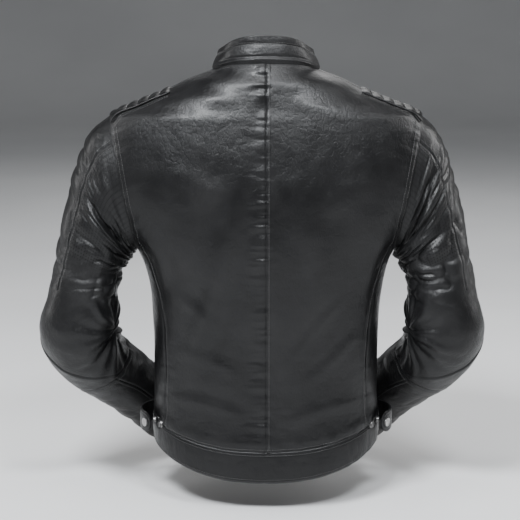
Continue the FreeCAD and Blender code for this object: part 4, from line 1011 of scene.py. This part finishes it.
def sleeve_relief(side, s, turn, p):
    """Folds of a sleeve: across the upper arm, and fanning out from inside the elbow."""
    inner = bell(turned_from(180, turn), 85)
    toward = np.radians(turn)
    wrap = np.stack([np.cos(toward) * 1.1, np.sin(toward) * 1.1, s * 1.7], -1)
    seed = 101 if side > 0 else 131
    upper = smooth(s, 0.25, 1.6) * (1 - smooth(s, 4.2, 5.6))
    rear = bell(turned_from(250, turn), 75)
    slant = wrap.copy()
    slant[..., 2] = s * 1.9 + 0.7 * np.sin(toward - 0.6)
    r = upper * (0.45 + rear) * 7.0 * (creases(slant, seed) - 0.1)
    r = r + 0.6 * fractal(p / 26, seed + 5, 3)
    off_turn = turned_from(196, turn) / 62.0
    off_s = (s - 6.35) / 1.35
    reach = np.hypot(off_turn, off_s)
    heading = np.arctan2(off_s, np.abs(off_turn) + 0.12)
    fan = np.cos(heading * 7.5 + 0.9 * noise(p / 34, seed + 9)) ** 3
    r = r + 5.0 * fan * bell(reach - 1.0, 0.75) * (0.25 + 0.75 * inner) * smooth(s, 4.2, 5.2)
    r = r - 3.0 * bell(reach, 0.32)
    low = smooth(s, 7.4, 8.4) * (1 - smooth(s, 10.4, 10.9))
    along = wrap.copy()
    along[..., 2] = s * 1.35
    r = r + 3.0 * low * creases(along * 1.15, seed + 13)
    r = r * (0.25 + 0.75 * smooth(s, 0.0, 0.5))
    patch = 6.5 + (170 - (turn - 180) % 360) * 0.014
    off = (s - patch) * 46   # mm past the upper edge of the elbow patch
    shown = smooth(turn, 225, 245)
    r = r + shown * (1.3 * smooth(off, 0.2, 2.0) * bell(off - 1.5, 16) - 0.9 * bell(off, 1.3))
    past = (s - PATCH_END) * SLEEVE_STEP
    r = r - 0.9 * bell(past, 1.6) + 0.4 * bell(past + 5, 4)
    return np.where(s > 7.2, at_least(r, -2.8), r)   # the forearm has a protector


def sleeve_surface(side, s, turn, out=0.0, relief=1.0):
    s, turn = np.broadcast_arrays(np.asarray(s, float), np.asarray(turn, float))
    p = sleeve(side, s, turn, out)
    along = sleeve(side, s + 0.01, turn, out) - sleeve(side, s - 0.01, turn, out)
    around = sleeve(side, s, turn + 0.3, out) - sleeve(side, s, turn - 0.3, out)
    n = unit(np.cross(along, around)) * -side
    centre = ring_frame(side, s)[0] * np.array([side, 1.0, 1.0])
    n = n * np.sign(np.sum(n * (p - centre), -1, keepdims=True))
    r = sleeve_relief(side, s, turn % 360, p) if relief else 0 * s
    return p + n * (relief * r)[..., None], n


def sleeve_piece(name, side, first, last, low, high, material, out, thick, relief, welts=()):
    rows = max(int((last - first) * SLEEVE_STEP * FINE / (1.5 if relief == 1 else 3)), 6)
    columns = max(int((high - low) * DEGREE * FINE / (1.3 if relief == 1 else 3)), 8)
    s = np.linspace(first, last, rows)[:, None]
    turn = np.linspace(low, high, columns)[None, :]
    outer, n = sleeve_surface(side, s, turn, out, relief)
    edge = 0 * (s + turn)
    for at in welts:
        edge = edge - 0.9 * bell((turn - at) * DEGREE, 1.5)
    outer = outer + n * edge[..., None]
    inner = outer - n * thick
    uv = np.stack([turn * DEGREE + 0 * s, s * SLEEVE_STEP + 0 * turn], -1)
    return sheet(name, outer, inner, material, uv, flip=side > 0)


def build_sleeve(name, side):
    jacket, upper, fore = "jacket", name + "_upper_sleeve", name + "_forearm_sleeve"
    plan = [
        ("sleeve_top_panel", 0.0, 4.89, -48, 62, "black_leather", "shoulder"),
        ("sleeve_back_panel", 0.0, 4.89, 200, 312, "perforated_leather", "shoulder"),
        ("sleeve_under_panel", 0.0, 4.89, 62, 200, "black_leather", "shoulder"),
        ("sleeve_lining", 0.05, 4.88, 0, 360, "lining_fabric", "shoulder"),
        ("elbow_leather", 4.89, PATCH_END, 0, 360, "black_leather", "elbow"),
        ("forearm_outer_panel", 8.12, 11, -110, 70, "black_leather", None),
        ("forearm_inner_panel", 8.12, 11, 70, 250, "black_leather", None),
        ("forearm_lining", 8.12, 11, 0, 360, "lining_fabric", None),
    ]
    for label, first, last, low, high, slot, joint in plan:
        lined = slot == "lining_fabric"
        out, thick, relief = (-2.4, 0.5, 0.7) if lined else (0.0, LEATHER, 1)
        made = sleeve_piece("%s_%s_soft" % (name, label), side, first, last, low, high,
                            LOOKS[slot], out, thick, relief,
                            (low, high) if high - low < 300 else ())
        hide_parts("%s_%s" % (name, label))
        if joint == "shoulder":
            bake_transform(made)
        elif joint == "elbow":
            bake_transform(made)
        else:
            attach(made, fore)
    turn = np.linspace(0, 360, 400)
    ring, n = sleeve_surface(side, np.full(400, 0.0), turn)
    ahead = sleeve_surface(side, np.full(400, 0.05), turn)[0]
    ring = ring - unit(ahead - ring) * 1.0 - n * 0.9
    declare(piping(name + "_armhole_welt", ring, n, 1.7, BLACK), jacket)
    s = np.linspace(0.12, 4.8, 400)
    rows = [sleeve_surface(side, s, np.full(400, t)) for t in (-44.5, 58.5, 203.5, 308.5)]
    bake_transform(stitches(name + "_sleeve_stitching", rows, THREAD))
    s = np.linspace(8.2, 10.85, 200)
    rows = [sleeve_surface(side, s, np.full(200, t)) for t in (-105.0, 65.0)]
    rows.append(sleeve_surface(side, np.full(400, 8.22), turn))
    rows.append(sleeve_surface(side, np.full(400, 10.72), turn))
    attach(stitches(name + "_forearm_stitching", rows, THREAD), fore)


# ---------------------------------------------------------------- tabs, zip trim

def rounded_end(from_end, radius):
    """Share of a strap's width that is left near its rounded end."""
    return np.sqrt(np.clip(1 - (1 - np.clip(from_end / radius, 0, 1)) ** 2, 0.02, 1))


def build_waist_tab(name, side):
    """A strap that stands off the hip in a curve, with a rounded end and sewn edges."""
    centre_x, centre_y, centre_z = TAB_CENTRE
    u = np.linspace(0, 1, int(150 * FINE))[:, None]
    v = np.linspace(-1, 1, int(48 * FINE))[None, :]
    angle = -TAB_HALF_ARC + 2 * TAB_HALF_ARC * u
    from_end = u * 2 * TAB_HALF_ARC * TAB_INNER
    half = TAB_HALF_HIGH * rounded_end(from_end, 15)
    z = centre_z + v * half
    rim = np.minimum((1 - np.abs(v)) * half, from_end + 0.3)
    puff = 0.9 * smooth(rim, 0, 2.2) - 0.55 * bell(rim - 4.0, 0.9) + 0.35 * bell(rim - 9, 5)
    faces = []
    for radius in (48.9 + puff, 46.6 + 0 * puff):
        x = side * (centre_x + radius * np.cos(angle))
        y = centre_y + radius * np.sin(angle)
        faces.append(np.stack([x + 0 * z, y + 0 * z, z + 0 * x], -1))
    made = sheet(name + "_waist_tab_leather", faces[0], faces[1], BLACK, flip=side < 0)
    declare(made, name + "_waist_tab", [name + "_waist_tab"])
    rows = []
    inset = np.linspace(-TAB_HALF_ARC + 0.30, TAB_HALF_ARC - 0.03, 120)
    for offset in (-11.6, 11.6):
        n = np.stack([side * np.cos(inset), np.sin(inset), 0 * inset], -1)
        p = np.array([side * centre_x, centre_y, centre_z + offset]) + n * 49.2
        rows.append((p, n))
    end = np.linspace(-1, 1, 40)
    bow = -TAB_HALF_ARC + (4.2 + 9.5 * (1 - np.sqrt(1 - (end * 0.95) ** 2))) / TAB_INNER
    n = np.stack([side * np.cos(bow), np.sin(bow), 0 * bow], -1)
    hub = np.array([side * centre_x, centre_y, centre_z])
    rows.append((hub + n * 49.2 + np.outer(end * 11.6, [0, 0, 1]), n))
    declare(stitches(name + "_tab_stitching", rows, THREAD), name + "_waist_tab")


def build_collar_tab():
    front = math.pi / 2
    ends, _ = collar(np.array([front, front]), np.array([0.0, 1.0]), np.array([LEATHER, LEATHER]))
    middle = ends[0] + (ends[1] - ends[0]) * 0.62
    along = unit(ends[1] - ends[0])
    outward = np.array([0, along[2], -along[1]])
    u = np.linspace(0, 1, int(110 * FINE))[:, None]
    v = np.linspace(-1, 1, int(40 * FINE))[None, :]
    arc = math.radians(COLLAR_TAB_ARC)
    angle = math.radians(90 - COLLAR_TAB_ARC * 0.44) + arc * u
    from_end = u * arc * COLLAR_TAB_RADIUS
    half = COLLAR_TAB_HALF_HIGH * rounded_end(from_end, COLLAR_TAB_HALF_HIGH)
    rim = np.minimum((1 - np.abs(v)) * half, from_end + 0.3)
    puff = 0.5 * smooth(rim, 0, 1.8) - 0.4 * bell(rim - 3.0, 0.8)
    hub = middle + outward * (2.8 - COLLAR_TAB_RADIUS)
    layers = []
    for above in (1.9 + puff, 0.1 + 0 * puff):
        radius = COLLAR_TAB_RADIUS + above
        p = (hub + np.array([1.0, 0, 0]) * (radius * np.cos(angle))[..., None]
             + outward * (radius * np.sin(angle))[..., None])
        layers.append(p + along * (v * half)[..., None])
    made = sheet("collar_tab_leather", layers[0], layers[1], BLACK, flip=True)
    declare(made, "collar_tab", ["collar_tab"])


def strip(name, x0, x1, depth0, depth1, z0, z1, material, wave=0.0):
    """A flat strip behind the front edge that follows the rake of the zip."""
    z = np.linspace(z0, z1, int(240 * FINE))[:, None]
    x = np.linspace(x0, x1, 12)[None, :]
    layers = []
    for depth in (depth0, depth1):
        y = front_depth(z) - depth + wave * np.sin(z / 17) * (x / max(abs(x0), abs(x1)))
        layers.append(np.stack([x + 0 * z, y + 0 * x, z + 0 * x], -1))
    return sheet(name, layers[0], layers[1], material, flip=True)


def build_zip_trim():
    low = -562
    high = low + 478 * math.cos(math.atan(0.0713))
    for name, x0, x1 in (("left", -19.2, -3.2), ("right", 3.2, 19.2)):
        tape = strip(name + "_zip_tape_cloth", x0, x1, 2.3, 2.9, low, high, TAPE)
        declare(tape, "jacket", ["zip_tapes"])
    flap = strip("wind_flap_leather", -19, 19, 6.0, 7.0, low + 3, low + 470, BLACK, 0.25)
    declare(flap, "jacket", ["wind_flap"])


# ---------------------------------------------------------------- CAD pieces that stay

def finish_cad_pieces():
    """Sliders, pulls, teeth, snaps, small zips and foam keep their CAD form."""
    for part in frame["record"]["subparts"]:
        node = frame["nodes"][part["node"]]
        node.data.materials.clear()
        small = part["node"] in ("pocket_zips", "left_cuff_zip", "right_cuff_zip")
        node.data.materials.append(SMALL_ZIP if small else LOOKS[part["material_slot"]])


# ---------------------------------------------------------------- stage

def lamp(name, place, target, size, power, tint=(1, 1, 1)):
    light = bpy.data.lights.new(name, "AREA")
    light.shape = "RECTANGLE"
    light.size, light.size_y = size
    light.energy = power
    light.color = tint
    holder = bpy.data.objects.new(name, light)
    holder.location = place
    holder.rotation_euler = (Vector(target) - Vector(place)).to_track_quat("-Z", "Y").to_euler()
    bpy.context.scene.collection.objects.link(holder)


def build_stage():
    bend = np.linspace(0, math.pi / 2, 24)
    y = np.concatenate([[-9000, 4500], 4500 + 2500 * np.sin(bend[1:]), [7000]])
    z = -668 + np.concatenate([[0, 0], 2500 * (1 - np.cos(bend[1:])), [9000]])
    x = np.array([-9000.0, 9000])[None, :] + 0 * y[:, None]
    sweep = np.stack([x, y[:, None] + 0 * x, z[:, None] + 0 * x], -1)
    floor = make_mesh("floor", sweep.reshape(-1, 3), grid_faces(*sweep.shape[:2]),
                      floor_material())
    world = bpy.data.worlds.new("studio")
    bpy.context.scene.world = world
    world.use_nodes = True
    world.node_tree.nodes["Background"].inputs["Color"].default_value = (0.80, 0.81, 0.83, 1)
    world.node_tree.nodes["Background"].inputs["Strength"].default_value = 0.06
    lamp("key", (-0.75, -1.35, 1.6), (0, 0, -0.15), (0.8, 0.5), 112, (0.94, 0.97, 1.0))
    lamp("key_right", (0.6, -1.35, 1.6), (0, 0, -0.15), (0.6, 0.4), 48, (0.94, 0.97, 1.0))
    lamp("top", (0.1, -0.35, 1.6), (0, 0, -0.2), (1.3, 0.7), 14)
    lamp("rim_right", (1.7, 0.5, 0.5), (0.2, 0, -0.3), (0.3, 1.4), 24)
    lamp("rim_left", (-1.8, 0.4, 0.3), (-0.2, 0, -0.3), (0.3, 1.3), 12)
    lamp("fill", (1.3, -2.0, 0.0), (0, 0, -0.35), (0.8, 1.4), 1.5)
    lamp("front_fill", (0.3, 2.4, 1.2), (0, 0, -0.3), (1.4, 1.4), 16)


def build_camera():
    data = bpy.data.cameras.new("camera")
    data.lens, data.sensor_width = 110.9, 36
    data.shift_x = -0.0115
    camera = bpy.data.objects.new("camera", data)
    target = Vector((0, 0, -0.303))
    lift = math.radians(12)
    camera.location = target + Vector((0, -math.cos(lift), math.sin(lift))) * 2.45
    camera.rotation_euler = (target - camera.location).to_track_quat("-Z", "Y").to_euler()
    bpy.context.scene.collection.objects.link(camera)
    bpy.context.scene.camera = camera


build_camera()
build_stage()
finish_cad_pieces()
build_torso()
build_lining_pieces()
build_waistband()
build_body_stitches()
build_quilt_trim()
build_collar()
build_loop()
for side_name, side_sign in SIDES:
    build_sleeve(side_name, side_sign)
    build_waist_tab(side_name, side_sign)
build_collar_tab()
build_zip_trim()
